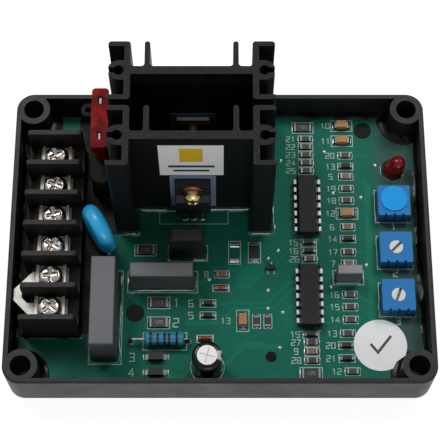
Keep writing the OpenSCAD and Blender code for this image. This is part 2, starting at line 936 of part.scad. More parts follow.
// Terminal strip
module seat_profile() {
    w = terminal_w / 2;
    polygon([[-w, 0], [w, 0], [w, seat_h], [entry_w - w, seat_h], [-w, seat_h - entry_h]]);
}

module terminal_block() {
    screw_well = seat_h - 1.2;
    color("#1b1b1c")
        difference() {
            translate([terminal_x, terminal_y, board_top]) {
                along_y(strip_l)
                    seat_profile();
                for (i = [0:ways])
                    translate([0, (ways / 2 - i) * terminal_pitch, 0])
                        along_y(barrier_t)
                            arch(terminal_w, barrier_h, barrier_r);
            }
            for (i = [0:ways - 1])
                translate([terminal_at(i)[0], terminal_at(i)[1], board_top]) {
                    translate([0, 0, seat_h - screw_well])
                        cylinder(d = terminal_screw_d + 1, h = screw_well + cut);
                    translate([plate_l / 2 - plate_t - bond_gap, -leg_w / 2 - bond_gap, -cut])
                        cube([plate_t + 2 * bond_gap, leg_w + 2 * bond_gap, seat_h + 2 * cut]);
                }
        }
}

module terminal_plates() {
    color("#c6c3bb")
        for (i = [0:ways - 1])
            translate([terminal_at(i)[0], terminal_at(i)[1], board_top + seat_h]) {
                difference() {
                    translate([-plate_l / 2, -plate_w / 2, 0])
                        cube([plate_l, plate_w, plate_t]);
                    translate([0, 0, -cut])
                        cylinder(d = terminal_screw_d + 2 * thread_gap, h = plate_t + 2 * cut);
                }
                translate([plate_l / 2 - plate_t, -leg_w / 2, -seat_h - board_t])
                    cube([plate_t, leg_w, seat_h + board_t + plate_t]);
            }
}

module terminal_clamps() {
    lip = 0.9;
    color("#d2d0ca")
        for (i = [0:ways - 1])
            translate([terminal_at(i)[0], terminal_at(i)[1], stack_z(i)])
                difference() {
                    union() {
                        translate([-clamp_l / 2, -plate_w / 2, 0])
                            cube([clamp_l, plate_w, clamp_t]);
                        for (x = [-clamp_l / 2, clamp_l / 2 - lip])
                            translate([x, -plate_w / 2, 0])
                                cube([lip, plate_w, clamp_t + lip]);
                    }
                    translate([0, 0, -cut])
                        cylinder(d = terminal_screw_d + 2 * thread_gap, h = clamp_t + 2 * cut);
                }
}

module terminal_screws() {
    tip = 3;
    color("#dbd9d4")
        for (i = [0:ways - 1]) {
            seat = stack_z(i) + clamp_t;
            translate([terminal_at(i)[0], terminal_at(i)[1], seat]) {
                difference() {
                    pan_head(terminal_head_d, terminal_head_h);
                    translate([0, 0, terminal_head_h])
                        rotate(25 + 40 * i)
                            cross_recess(terminal_head_d * 0.62, terminal_head_h / 2);
                }
                translate([0, 0, board_top + seat_h - tip - seat])
                    cylinder(d = terminal_screw_d, h = seat - board_top - seat_h + tip);
            }
        }
}

module jumper_link() {
    eye_d = plate_w - 0.2;
    out = terminal_pitch / 2 + link_arm_w / 2;
    in = terminal_pitch / 2 - link_arm_w / 2;
    strip_gap = 0.4;
    inner_x = -terminal_w / 2 - strip_gap;
    outer_x = inner_x - link_back_w;
    bevel = 5.2;
    corner = 1.6;
    middle = (terminal_at(linked[0]) + terminal_at(linked[1])) / 2;
    slot_d = terminal_screw_d + 4 * thread_gap;
    color("#d5d4cf")
        translate([middle[0], middle[1], board_top + seat_h + plate_t])
            linear_extrude(plate_t)
                difference() {
                    union() {
                        polygon([
                            [0, out], [outer_x + bevel, out], [outer_x, corner],
                            [outer_x, -corner], [outer_x + bevel, -out], [0, -out],
                            [0, -in], [inner_x + corner, -in], [inner_x, -in + corner],
                            [inner_x, in - corner], [inner_x + corner, in], [0, in]
                        ]);
                        for (s = [-1, 1])
                            translate([0, s * terminal_pitch / 2])
                                circle(d = eye_d);
                    }
                    for (s = [-1, 1])
                        translate([0, s * terminal_pitch / 2]) {
                            circle(d = slot_d);
                            translate([0, -slot_d / 2])
                                square([eye_d, slot_d]);
                        }
                }
}

// Fuse: the blades stand in clips inside the socket
clip_t = 0.45;
clip_w = blade_t + 2 * clip_t;
clip_l = blade_w + 0.6;
clip_h = blade_depth - 0.6;
socket_lid = 1;

module holder_outline() {
    square([holder_w, holder_l - holder_w], center = true);
    for (s = [-1, 1])
        translate([0, s * (holder_l - holder_w) / 2])
            circle(d = holder_w);
}

module at_blades(z) {
    for (p = fuse_places)
        translate([p[0], p[1], z])
            children();
}

module fuse_holder() {
    ear_d = 4.2;
    ear_hole_d = 1.8;
    ear_t = 2;
    ear_x = -holder_w / 2 - 1.3;
    ear_y = holder_l / 2 - 4.2;
    color("#1a1a1b")
        difference() {
            union() {
                translate([fuse_x, fuse_y, board_top])
                    linear_extrude(holder_h)
                        holder_outline();
                translate([fuse_x, fuse_y + ear_y, board_top + holder_h - ear_t])
                    linear_extrude(ear_t) {
                        translate([ear_x, 0])
                            circle(d = ear_d);
                        translate([ear_x, -ear_d / 2])
                            square([-ear_x, ear_d]);
                    }
            }
            translate([fuse_x + ear_x, fuse_y + ear_y, board_top])
                cylinder(d = ear_hole_d, h = holder_h + cut);
            at_blades(board_top) {
                translate([-clip_w / 2 - bond_gap, -clip_l / 2 - bond_gap, -cut])
                    cube([clip_w + 2 * bond_gap, clip_l + 2 * bond_gap, holder_h - socket_lid + cut]);
                translate([-blade_t / 2 - bond_gap, -blade_w / 2 - bond_gap, 0])
                    cube([blade_t + 2 * bond_gap, blade_w + 2 * bond_gap, holder_h + cut]);
            }
        }
}

module fuse_clips() {
    clip_bottom = holder_h - socket_lid - clip_h;
    color("#b9bbbd")
        at_blades(board_top) {
            difference() {
                translate([-clip_w / 2, -clip_l / 2, clip_bottom])
                    cube([clip_w, clip_l, clip_h]);
                translate([-blade_t / 2 - bond_gap, -clip_l, holder_h - blade_depth - bond_gap])
                    cube([blade_t + 2 * bond_gap, 2 * clip_l, clip_h + cut]);
            }
            translate([-clip_t, -clip_tail / 2, -board_t])
                cube([2 * clip_t, clip_tail, board_t + clip_bottom]);
        }
}

module fuse_body() {
    head_h = 3.6;
    waist_l = fuse_l - 2.4;
    waist_t = fuse_t - 1.2;
    window = 2.4;
    corner = 1.2;
    lid = 0.5;
    color("#b3121c")
        translate([fuse_x, fuse_y + fuse_offset, board_top + holder_h])
            difference() {
                union() {
                    linear_extrude(fuse_h - head_h)
                        rounded_rect(waist_t, waist_l, corner);
                    translate([0, 0, fuse_h - head_h])
                        linear_extrude(head_h)
                            rounded_rect(fuse_t, fuse_l, corner);
                }
                translate([-blade_t / 2 - bond_gap, -blade_pitch / 2 - blade_w / 2 - bond_gap, -cut])
                    cube([blade_t + 2 * bond_gap, blade_pitch + blade_w + 2 * bond_gap, fuse_h - lid + cut]);
                for (s = [-1, 1])
                    translate([-blade_t, s * blade_pitch / 2 - window / 2, fuse_h - lid - cut])
                        cube([2 * blade_t, window, lid + 2 * cut]);
            }
}

module fuse_blades() {
    top = fuse_h - 0.6;
    link_z = 5;
    link_w = 1.4;
    color("#c3c5c7")
        translate([fuse_x, fuse_y + fuse_offset, board_top + holder_h]) {
            for (s = [-1, 1])
                translate([-blade_t / 2, s * blade_pitch / 2 - blade_w / 2, -blade_depth])
                    cube([blade_t, blade_w, blade_depth + top]);
            translate([-blade_t / 2, -blade_pitch / 2, link_z])
                cube([blade_t, blade_pitch, link_w]);
        }
}

// Boxes and cans
module film_box(p, l, w, h, turned) {
    translate([p[0], p[1], board_top])
        rotate(turned ? 90 : 0)
            difference() {
                intersection() {
                    linear_extrude(h + cut)
                        rounded_rect(l, w, box_r);
                    along_y(w + cut)
                        arch(l, h, box_r);
                    along_x(l + cut)
                        arch(w, h, box_r);
                }
                translate([foot_l - l / 2, -w, -cut])
                    cube([l - 2 * foot_l, 2 * w, foot_h + cut]);
            }
}

module large_film_capacitor() {
    color("#77787d")
        film_box(large_film, large_film_l, large_film_w, large_film_h, true);
}

module medium_film_capacitor() {
    color("#75767b")
        film_box(medium_film, medium_film_l, medium_film_w, medium_film_h, false);
}

module small_film_capacitor() {
    color("#8a8b8f")
        film_box(small_film, small_film_l, small_film_w, small_film_h, false);
}

module bridge_rectifier() {
    bevel = 0.8;
    half = bridge_w / 2;
    color("#2a2728")
        translate([bridge_at[0], bridge_at[1] + bridge_t / 2, board_top])
            rotate([90, 0, 0])
                linear_extrude(bridge_t)
                    polygon([
                        [-half, 0], [half, 0], [half, bridge_h - bevel],
                        [half - bevel, bridge_h], [bevel - half, bridge_h], [-half, bridge_h - bevel]
                    ]);
}

varistor_z = board_top + varistor_lift + varistor_d / 2;

module varistor_wires(d) {
    for (p = varistor_leads)
        translate([p[0], p[1], board_bottom])
            cylinder(d = d, h = varistor_z - board_bottom - varistor_pitch / 2);
}

module varistor() {
    flat_r = varistor_d / 2 - varistor_t / 2;
    color("#2a93dc")
        difference() {
            translate([varistor_at[0], varistor_at[1], varistor_z])
                rotate([90, 0, varistor_turn])
                    rotate_extrude() {
                        translate([0, -varistor_t / 2])
                            square([flat_r, varistor_t]);
                        intersection() {
                            translate([flat_r, 0])
                                circle(d = varistor_t);
                            translate([0, -varistor_t])
                                square([varistor_d, 2 * varistor_t]);
                        }
                    }
            varistor_wires(lead_d + 2 * bond_gap);
        }
}

resistor_z = board_top + resistor_lift + resistor_d / 2;
bulge_l = 2.6;

module resistor_wires(d) {
    bend_r = 0.6;
    for (s = [-1, 1]) {
        foot = resistor_leads[(s + 1) / 2];
        start = resistor_at[0] + s * (resistor_l / 2 - bulge_l / 2);
        translate([foot[0], foot[1], board_bottom])
            cylinder(d = d, h = resistor_z - bend_r - board_bottom);
        translate([foot[0] - s * bend_r, foot[1], resistor_z - bend_r])
            rotate([90, 0, 0])
                rotate(s > 0 ? 0 : 90)
                    rotate_extrude(angle = 90)
                        translate([bend_r, 0])
                            circle(d = d);
        translate([s > 0 ? start : foot[0] + bend_r, foot[1], resistor_z])
            rotate([0, 90, 0])
                cylinder(d = d, h = abs(foot[0] - start) - bend_r);
    }
}

module power_resistor() {
    waist_r = resistor_d / 2 - 0.35;
    bulge_r = resistor_d / 2;
    corner = 0.8;
    color("#3f8fc8")
        difference() {
            translate([resistor_at[0], resistor_at[1], resistor_z])
                rotate([0, 90, 0]) {
                    cylinder(r = waist_r, h = resistor_l - bulge_l, center = true);
                    for (s = [-1, 1])
                        translate([0, 0, s * (resistor_l / 2 - bulge_l / 2)])
                            rotate_extrude() {
                                translate([0, -bulge_l / 2])
                                    square([bulge_r - corner, bulge_l]);
                                translate([0, -bulge_l / 2 + corner])
                                    square([bulge_r, bulge_l - 2 * corner]);
                                for (y = [-1, 1])
                                    translate([bulge_r - corner, y * (bulge_l / 2 - corner)])
                                        circle(corner);
                            }
                }
            resistor_wires(lead_d + 2 * bond_gap);
        }
}

// The crimped neck's groove outside the sleeve
neck_out = 0.25;
can_roll = 1;
neck = [can_d / 2 + neck_out, neck_z];

module electrolytic_can() {
    r = can_d / 2 - sleeve_t - bond_gap;
    roll = can_roll;
    groove_t = 0.4;
    groove_l = can_top_d * 0.7;
    groove_depth = 0.25;
    top = can_h - sleeve_t - bond_gap;
    color("#d7d8da")
        translate([can_at[0], can_at[1], board_top])
            difference() {
                rotate_extrude()
                    difference() {
                        union() {
                            square([r, top - roll]);
                            square([r - roll, top]);
                            translate([r - roll, top - roll])
                                circle(roll);
                        }
                        translate(neck)
                            circle(neck_r + sleeve_t + bond_gap);
                    }
                translate([0, 0, top])
                    for (turn = [0, 60, 120])
                        rotate(turn)
                            translate([-groove_l / 2, -groove_t / 2, -groove_depth])
                                cube([groove_l, groove_t, groove_depth + cut]);
            }
}

module electrolytic_sleeve() {
    r = can_d / 2;
    bend = can_roll + bond_gap + sleeve_t;
    lip = min(can_top_d / 2, r - bend - cut);
    color("#1d1d20")
        translate([can_at[0], can_at[1], board_top])
            rotate_extrude()
                difference() {
                    union() {
                        translate([r - sleeve_t, 0])
                            square([sleeve_t, can_h - bend]);
                        translate([lip, can_h - sleeve_t])
                            square([r - bend - lip, sleeve_t]);
                        translate([r - bend, can_h - bend])
                            intersection() {
                                difference() {
                                    circle(bend);
                                    circle(bend - sleeve_t);
                                }
                                square(bend);
                            }
                        intersection() {
                            translate(neck)
                                circle(neck_r + sleeve_t);
                            square([r, can_h]);
                        }
                    }
                    translate(neck)
                        circle(neck_r);
                }
}

module indicator_led() {
    r = led_d / 2;
    flange_r = r + 0.65;
    flange_h = 1;
    flat_x = r + 0.3;
    color("#8c1016")
        translate([led_at[0], led_at[1], board_top]) {
            difference() {
                cylinder(r = flange_r, h = flange_h);
                translate([flat_x, -led_d, -cut])
                    cube([led_d, 2 * led_d, flange_h + 2 * cut]);
            }
            cylinder(r = r, h = led_h - r);
            translate([0, 0, led_h - r])
                intersection() {
                    sphere(r);
                    translate([-led_d, -led_d, 0])
                        cube(2 * led_d);
                }
        }
}

module component_leads() {
    color("#c8c9cb") {
        for (p = short_leads)
            translate([p[0], p[1], board_bottom])
                cylinder(d = lead_d, h = board_t);
        varistor_wires(lead_d);
        resistor_wires(lead_d);
    }
}

// Amplifiers
module amplifier(y) {
    notch_r = 0.9;
    notch_depth = 0.6;
    color("#222224")
        translate([amplifier_x, y, board_top + dip_lift])
            difference() {
                intersection() {
                    along_y(dip_l + cut)
                        drafted(dip_w, dip_h, dip_draft);
                    along_x(dip_w + cut)
                        drafted(dip_l, dip_h, dip_draft);
                }
                translate([0, dip_l / 2 - dip_draft, dip_h - notch_depth])
                    cylinder(r = notch_r, h = notch_depth + cut);
            }
}

module rear_amplifier() {
    amplifier(amplifier_ys[0]);
}

module front_amplifier() {
    amplifier(amplifier_ys[1]);
}

module amplifier_pins() {
    pin_t = 0.25;
    foot_w = 0.5;
    shoulder_w = 1.4;
    elbow_z = board_t + dip_lift + dip_h / 2;
    shoulder_h = 1.8;
    color("#c4c5c7")
        for (p = amplifier_leads) {
            s = p[0] > amplifier_x ? 1 : -1;
            arm = pin_row / 2 + pin_t / 2 - dip_w / 2;
            translate([p[0], p[1], board_bottom]) {
                translate([-pin_t / 2, -foot_w / 2, 0])
                    cube([pin_t, foot_w, elbow_z]);
                translate([-pin_t / 2, -shoulder_w / 2, elbow_z - shoulder_h])
                    cube([pin_t, shoulder_w, shoulder_h]);
                translate([s > 0 ? pin_t / 2 - arm : -pin_t / 2, -shoulder_w / 2, elbow_z - pin_t / 2])
                    cube([arm, shoulder_w, pin_t]);
            }
        }
}

// Trimmers
module trimmer(y) {
    groove_t = 0.5;
    color("#2a6ab8")
        translate([trimmer_x, y, board_top])
            difference() {
                linear_extrude(trimmer_h)
                    rounded_rect(trimmer_w, trimmer_w, trimmer_r);
                translate([0, 0, trimmer_h - rotor_depth - rotor_gap])
                    cylinder(r = rotor_d / 2 + rotor_gap, h = rotor_depth + rotor_gap + cut);
                for (i = [-1, 0, 1])
                    translate([i * pin_pitch - groove_w / 2, -trimmer_w / 2 - cut, trimmer_h - groove_h])
                        cube([groove_w, groove_t + cut, groove_h + cut]);
            }
}

module frequency_trimmer() {
    trimmer(trimmer_ys[0]);
}

module stability_trimmer() {
    trimmer(trimmer_ys[1]);
}

module voltage_trimmer() {
    trimmer(trimmer_ys[2]);
}

module trimmer_pins() {
    color("#c8c9cb")
        for (p = trimmer_leads)
            translate([p[0], p[1], board_bottom])
                cylinder(d = lead_d - lead_gap, h = board_t);
}

module rotor(y, turn) {
    color("#e8e8e4")
        translate([trimmer_x, y, board_top + trimmer_h - rotor_depth])
            rotate(turn)
                difference() {
                    cylinder(d = rotor_d, h = rotor_depth);
                    translate([-rotor_d, -slot_w / 2, rotor_depth - slot_depth])
                        cube([2 * rotor_d, slot_w, slot_depth + cut]);
                }
}

module frequency_rotor() {
    rotor(trimmer_ys[0], 0);
}

module stability_rotor() {
    rotor(trimmer_ys[1], stability_turn);
}

module voltage_rotor() {
    rotor(trimmer_ys[2], voltage_turn);
}

module trimmer_seal() {
    color("#1f97e6")
        translate([trimmer_x, trimmer_ys[0] + 0.5, board_top + trimmer_h])
            cylinder(d = seal_d, h = seal_t);
}

// Surface parts
module on_board(places) {
    for (p = places)
        translate([p[0], p[1], board_top])
            rotate(p[2])
                children();
}

module block(l, w, h) {
    translate([-l / 2, -w / 2, 0])
        cube([l, w, h]);
}

module drafted_block(l, w, h) {
    along_x(l)
        drafted(w, h, chip_draft);
}

module end_blocks(l, w, h) {
    for (x = [-l / 2, l / 2 - chip_end])
        translate([x, -w / 2, 0])
            cube([chip_end, w, h]);
}

module chip_resistors() {
    color("#2c2624")
        on_board(small_resistors)
            block(chip_l - 2 * chip_end, chip_w, chip_h);
}

module large_chip_resistors() {
    color("#2b2422")
        on_board(large_resistors)
            block(large_chip_l - 2 * chip_end, large_chip_w, chip_h);
}

module tantalum_capacitors() {
    color("#c98b35")
        on_board(tantalums)
            drafted_block(tantalum_l - 2 * chip_end, tantalum_w, tantalum_h);
}

module ceramic_capacitors() {
    color("#7b4a36")
        on_board(ceramics)
            block(chip_l - 2 * chip_end, chip_w, chip_h);
}

module chip_ends() {
    color("#d0d1d2") {
        on_board(concat(small_resistors, ceramics))
            end_blocks(chip_l, chip_w, chip_h);
        on_board(large_resistors)
            end_blocks(large_chip_l, large_chip_w, chip_h);
        on_board(tantalums)
            end_blocks(tantalum_l, tantalum_w - 0.6, tantalum_h / 2);
    }
}

module chip_diodes() {
    color("#242223")
        on_board(signal_diodes)
            drafted_block(diode_l - 2 * chip_end, diode_w, 2 * chip_h);
}

module power_diodes() {
    color("#252324")
        on_board(big_diodes)
            drafted_block(power_diode_l, power_diode_w, power_diode_h);
}

module diode_leads() {
    tongue_l = 1;
    tongue_t = 0.25;
    tongue_w = 1.5;
    color("#cbccce") {
        on_board(signal_diodes)
            end_blocks(diode_l, diode_w - 0.6, chip_h);
        on_board(big_diodes)
            for (s = [-1, 1])
                translate([s * (power_diode_l + tongue_l) / 2, 0, 0]) {
                    block(tongue_l, tongue_w, tongue_t);
                    translate([-s * (tongue_l - tongue_t) / 2, 0, 0])
                        block(tongue_t, tongue_w, power_diode_h / 2);
                }
        on_board(glass)
            for (s = [-1, 1])
                translate([s * (diode_l - chip_end) / 2, 0, glass_d / 2])
                    rotate([0, 90, 0])
                        cylinder(d = glass_d, h = chip_end, center = true);
    }
}

module glass_diodes() {
    color("#b5462f")
        on_board(glass)
            translate([0, 0, glass_d / 2])
                rotate([0, 90, 0])
                    cylinder(d = glass_d, h = diode_l - 2 * chip_end, center = true);
}

module signal_transistor() {
    body_l = 2.9;
    body_w = 1.3;
    body_h = 1.1;
    foot_w = 0.45;
    foot_l = 0.6;
    foot_t = 0.2;
    color("#242224")
        translate([transistor_at[0], transistor_at[1], board_top]) {
            drafted_block(body_l, body_w, body_h);
            for (f = [[-0.95, -1], [0.95, -1], [0, 1]])
                translate([f[0], f[1] * (body_w / 2 + foot_l) / 2, 0])
                    block(foot_w, body_w / 2 + foot_l, foot_t);
        }
}

module inspection_sticker() {
    color("#f1f2f3")
        translate([sticker_at[0], sticker_at[1], board_top])
            cylinder(d = sticker_d, h = label_t);
}

case();
potting_compound();
circuit_board();
rear_heatsink();
front_heatsink();
heatsink_screws();
rear_insulator();
front_insulator();
rear_thyristor();
front_thyristor();
thyristor_leads();
device_screws();
spring_washers();
flat_washers();
heatsink_label();
terminal_block();
terminal_plates();
terminal_clamps();
terminal_screws();
jumper_link();
fuse_holder();
fuse_clips();
fuse_body();
fuse_blades();
varistor();
large_film_capacitor();
medium_film_capacitor();
small_film_capacitor();
bridge_rectifier();
power_resistor();
electrolytic_can();
electrolytic_sleeve();
indicator_led();
component_leads();
rear_amplifier();
front_amplifier();
amplifier_pins();
frequency_trimmer();
stability_trimmer();
voltage_trimmer();
trimmer_pins();
frequency_rotor();
stability_rotor();
voltage_rotor();
trimmer_seal();
chip_resistors();
large_chip_resistors();
tantalum_capacitors();
ceramic_capacitors();
chip_ends();
chip_diodes();
power_diodes();
diode_leads();
glass_diodes();
signal_transistor();
inspection_sticker();
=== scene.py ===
"""Looks of a potted voltage regulator module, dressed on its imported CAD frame."""

import math

import bmesh
import bpy
from mathutils import Matrix, Vector, noise


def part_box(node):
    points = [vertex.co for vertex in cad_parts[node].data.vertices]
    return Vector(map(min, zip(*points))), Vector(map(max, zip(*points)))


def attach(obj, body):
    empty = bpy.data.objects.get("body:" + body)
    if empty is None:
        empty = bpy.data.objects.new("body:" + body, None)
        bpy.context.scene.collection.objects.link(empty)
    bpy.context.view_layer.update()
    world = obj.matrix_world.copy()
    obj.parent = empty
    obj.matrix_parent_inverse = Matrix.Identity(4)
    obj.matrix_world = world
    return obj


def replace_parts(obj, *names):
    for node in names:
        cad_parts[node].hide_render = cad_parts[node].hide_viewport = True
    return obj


bl_info = {
    "name": "Voltage regulator looks",
    "version": (1, 0, 0),
    "blender": (4, 5, 0),
    "location": "View3D > Sidebar > Regulator",
    "description": "Finishes, board print, solder and resin of a potted voltage regulator module",
    "category": "Object",
}

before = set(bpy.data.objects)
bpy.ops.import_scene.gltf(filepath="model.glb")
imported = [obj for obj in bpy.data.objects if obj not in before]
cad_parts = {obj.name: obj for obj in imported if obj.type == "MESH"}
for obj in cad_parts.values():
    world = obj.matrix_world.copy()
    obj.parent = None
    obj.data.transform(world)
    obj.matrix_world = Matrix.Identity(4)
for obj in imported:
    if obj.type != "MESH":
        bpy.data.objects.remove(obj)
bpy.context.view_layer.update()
MM = 0.001
BASE = "base"
BOARD_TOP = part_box("circuit_board")[1].z / MM
HOLE_IN = 3.65  # from the cavity's walls to a corner hole's axis
LIFT = 0.02  # keeps print clear of the face under it
TRIMMERS = ("frequency_trimmer", "stability_trimmer", "voltage_trimmer")


# Measuring the frame, in millimetres


def box(node):
    """Lowest and highest corner of a CAD node."""
    lo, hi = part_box(node)
    return lo / MM, hi / MM


def centre(corners):
    return (corners[0] + corners[1]) / 2


def middle(node):
    return centre(box(node))


def solids(node):
    """Boxes of the separate solids in a CAD node, from the back of the board to its front."""
    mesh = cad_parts[node].data
    keys = [tuple(round(c * 1e5) for c in v.co) for v in mesh.vertices]
    parent = {k: k for k in keys}

    def root(k):
        while parent[k] != k:
            parent[k] = parent[parent[k]]
            k = parent[k]
        return k

    for polygon in mesh.polygons:
        first, *rest = [root(keys[i]) for i in polygon.vertices]
        for other in rest:
            parent[root(other)] = root(first)
    groups = {}
    for k in parent:
        groups.setdefault(root(k), []).append(k)
    boxes = []
    for points in groups.values():
        lo = Vector([min(p[i] for p in points) / 100 for i in range(3)])
        hi = Vector([max(p[i] for p in points) / 100 for i in range(3)])
        boxes.append((lo, hi))
    return sorted(boxes, key=lambda b: (-round(b[1].y, 2), b[0].x))


def centres(*nodes):
    return [centre(b) for node in nodes for b in solids(node)]


# Settings that a user would change


def linear(hex_colour):
    """Linear colour of a six-digit sRGB one."""
    channels = [int(hex_colour[i : i + 2], 16) / 255 for i in (1, 3, 5)]
    return tuple(c / 12.92 if c <= 0.04045 else ((c + 0.055) / 1.055) ** 2.4 for c in channels)


def colour(label, words, hex_colour):
    return bpy.props.FloatVectorProperty(
        name=label, description=words, subtype="COLOR", size=3, min=0, max=1, default=linear(hex_colour)
    )


def length(label, words, millimetres):
    return bpy.props.FloatProperty(
        name=label, description=words, subtype="DISTANCE", unit="LENGTH", min=0, default=millimetres * MM
    )


def power(label, words, watts):
    return bpy.props.FloatProperty(name=label, description=words, unit="POWER", default=watts)


class RegulatorColours(bpy.types.PropertyGroup):
    """Colours of the module's finishes."""

    case: colour("Tray", "Moulded tray", "#131315")
    resin: colour("Resin", "Cast resin round the board", "#050606")
    mask: colour("Solder mask", "Bare field of the board", "#0f6856")
    mask_copper: colour("Mask on copper", "Board over its copper tracks", "#10735a")
    # Grey that the board takes towards the right wall.
    haze: colour("Wall grey", "Board greyed towards the right wall", "#3a5854")
    silk: colour("Board print", "Pale print on the board", "#bcd3c8")
    anodised: colour("Anodised", "Heatsink extrusions", "#0f0f10")
    pad: colour("Insulator", "Sheet under a power device", "#6a7a94")
    moulding: colour("Black moulding", "Packages of the devices", "#1c1c1e")
    strip: colour("Terminal strip", "Barrier strip and fuse socket", "#161617")
    brass: colour("Brass", "Screws and washers of the power devices", "#dec48c")
    nickel: colour("Nickel", "Terminal screws, clamps and plates", "#dcd3c9")
    tin: colour("Tin", "Leads and solder", "#b4b6b8")
    fuse: colour("Fuse", "Tinted fuse body", "#a30d18")
    varistor: colour("Varistor", "Dipped disc", "#2cbcf8")
    film: colour("Film capacitors", "Moulded boxes", "#616266")
    resistor: colour("Wire resistor", "Lacquered body", "#307d9c")
    lamp: colour("Lamp", "Tinted lamp", "#7d0c16")
    trimmer: colour("Trimmers", "Moulded bodies", "#1d76b9")
    rotor: colour("Rotors", "Trimmer rotors", "#dededa")
    seal: colour("Seal", "Sealing disc on a trimmer", "#0aa0f0")
    tantalum: colour("Tantalum", "Moulded capacitors", "#a97838")
    ceramic: colour("Ceramic", "Ceramic capacitors", "#70503f")
    label: colour("Label", "Label and sticker", "#f6f7f9")
    label_field: colour("Label field", "Colour field on the label", "#e6bd20")


class RegulatorSizes(bpy.types.PropertyGroup):
    """Sizes of what is drawn on the frame."""

    print_line: length("Print line", "Width of the board print's lines", 0.22)
    print_height: length("Number height", "Height of the board print's numbers", 1.7)
    track: length("Track", "Width of a signal track", 0.5)
    resin_creep: length("Resin creep", "How far the resin runs onto the board", 0.9)
    resin_rise: length("Resin rise", "How far the resin climbs the walls", 1.1)


class RegulatorStage(bpy.types.PropertyGroup):
    """Camera and lights."""

    camera_at: bpy.props.FloatVectorProperty(
        name="Camera", description="Camera position", subtype="TRANSLATION", unit="LENGTH", default=(0, -0.155, 0.402)
    )
    tilt: bpy.props.FloatProperty(
        name="Tilt", description="Camera tilt from straight down", subtype="ANGLE", default=math.radians(22.36)
    )
    lens: bpy.props.FloatProperty(
        name="Lens", description="Focal length", subtype="DISTANCE_CAMERA", unit="CAMERA", default=117.25
    )
    left: power("Left", "Power of the rear left softbox", 3.8)
    right: power("Right", "Power of the rear right softbox", 2.6)
    fill: power("Fill", "Power of the low front softbox", 1.8)
    overhead: power("Overhead", "Power of the wide softbox", 0.6)
    sky: bpy.props.FloatProperty(name="Sky", description="Strength of the surrounding light", default=0.18)


def shaded(shade, by):
    """A colour made lighter or darker."""
    return tuple(min(1.0, c * by) for c in shade)


def tone(key, by=1.0):
    """One of the set colours, made lighter or darker."""
    return shaded(getattr(bpy.context.scene.regulator_colours, key), by)


def size(key):
    """One of the set sizes, in millimetres."""
    return getattr(bpy.context.scene.regulator_sizes, key) / MM


# Shader building


def put(tree, kind, inputs=None, **settings):
    """Adds a node; an input takes a value or another node's output."""
    made = tree.nodes.new(kind)
    for key, value in settings.items():
        setattr(made, key, value)
    for key, value in (inputs or {}).items():
        if isinstance(value, bpy.types.NodeSocket):
            tree.links.new(value, made.inputs[key])
        else:
            made.inputs[key].default_value = value
    return made


def mixed(tree, factor, a, b):
    """Colour a turned into colour b by a factor."""
    made = put(tree, "ShaderNodeMix", data_type="RGBA")
    for index, value in ((0, factor), (6, a), (7, b)):
        if isinstance(value, bpy.types.NodeSocket):
            tree.links.new(value, made.inputs[index])
        else:
            made.inputs[index].default_value = (*value, 1) if index else value
    return made.outputs[2]


def ranged(tree, value, from_low, from_high, to_low=0.0, to_high=1.0):
    given = {"Value": value, "From Min": from_low, "From Max": from_high, "To Min": to_low, "To Max": to_high}
    return put(tree, "ShaderNodeMapRange", given).outputs[0]


def maths(tree, operation, a, b=0.0):
    return put(tree, "ShaderNodeMath", {0: a, 1: b}, operation=operation).outputs[0]


def position(tree):
    """A point in the module's frame."""
    return put(tree, "ShaderNodeTexCoord").outputs["Object"]


def axes(tree, vector):
    return put(tree, "ShaderNodeSeparateXYZ", {0: vector}).outputs


def facing(tree):
    return put(tree, "ShaderNodeNewGeometry").outputs["Normal"]


def cloud(tree, vector, scale, detail):
    """Soft noise."""
    return put(tree, "ShaderNodeTexNoise", {"Vector": vector, "Scale": scale, "Detail": detail}).outputs[0]


def new_group(name, inputs, *outputs):
    """A node group with a value for each input."""
    tree = bpy.data.node_groups.new(name, "ShaderNodeTree")
    for label, value in inputs.items():
        kind = "NodeSocketVector" if isinstance(value, tuple) else "NodeSocketFloat"
        tree.interface.new_socket(label, in_out="INPUT", socket_type=kind).default_value = value
    for label in outputs:
        tree.interface.new_socket(label, in_out="OUTPUT", socket_type="NodeSocketFloat")
    return tree, tree.nodes.new("NodeGroupInput").outputs, tree.nodes.new("NodeGroupOutput").inputs


def grain_group():
    """Fine surface grain and broad mottling, in object space."""
    tree, given, out = new_group(
        "Surface grain", {"Scale": 2500.0, "Stretch": (1, 1, 1), "Patch": 120.0}, "Height", "Mottle"
    )
    factors = {0: position(tree), 1: given["Stretch"]}
    stretched = put(tree, "ShaderNodeVectorMath", factors, operation="MULTIPLY").outputs[0]
    tree.links.new(cloud(tree, stretched, given["Scale"], 3.0), out["Height"])
    tree.links.new(ranged(tree, cloud(tree, stretched, given["Patch"], 5.0), 0.3, 0.7), out["Mottle"])
    return tree


def wear_group():
    """Mask of rubbed edges, broken up by noise; the lighter colour it lays on is partly wear and partly a painted edge
    highlight.
    """
    tree, given, out = new_group("Edge wear", {"Radius": 0.0003, "Amount": 0.6}, "Mask")
    bevel = put(tree, "ShaderNodeBevel", {"Radius": given["Radius"]}, samples=4)
    along = put(tree, "ShaderNodeVectorMath", {0: bevel.outputs[0], 1: facing(tree)}, operation="DOT_PRODUCT")
    edge = ranged(tree, along.outputs["Value"], 0.99, 0.86)
    broken = ranged(tree, cloud(tree, position(tree), 450.0, 4.0), 0.35, 0.62, 0.25, 1.0)
    tree.links.new(maths(tree, "MULTIPLY", maths(tree, "MULTIPLY", edge, broken), given["Amount"]), out["Mask"])
    return tree


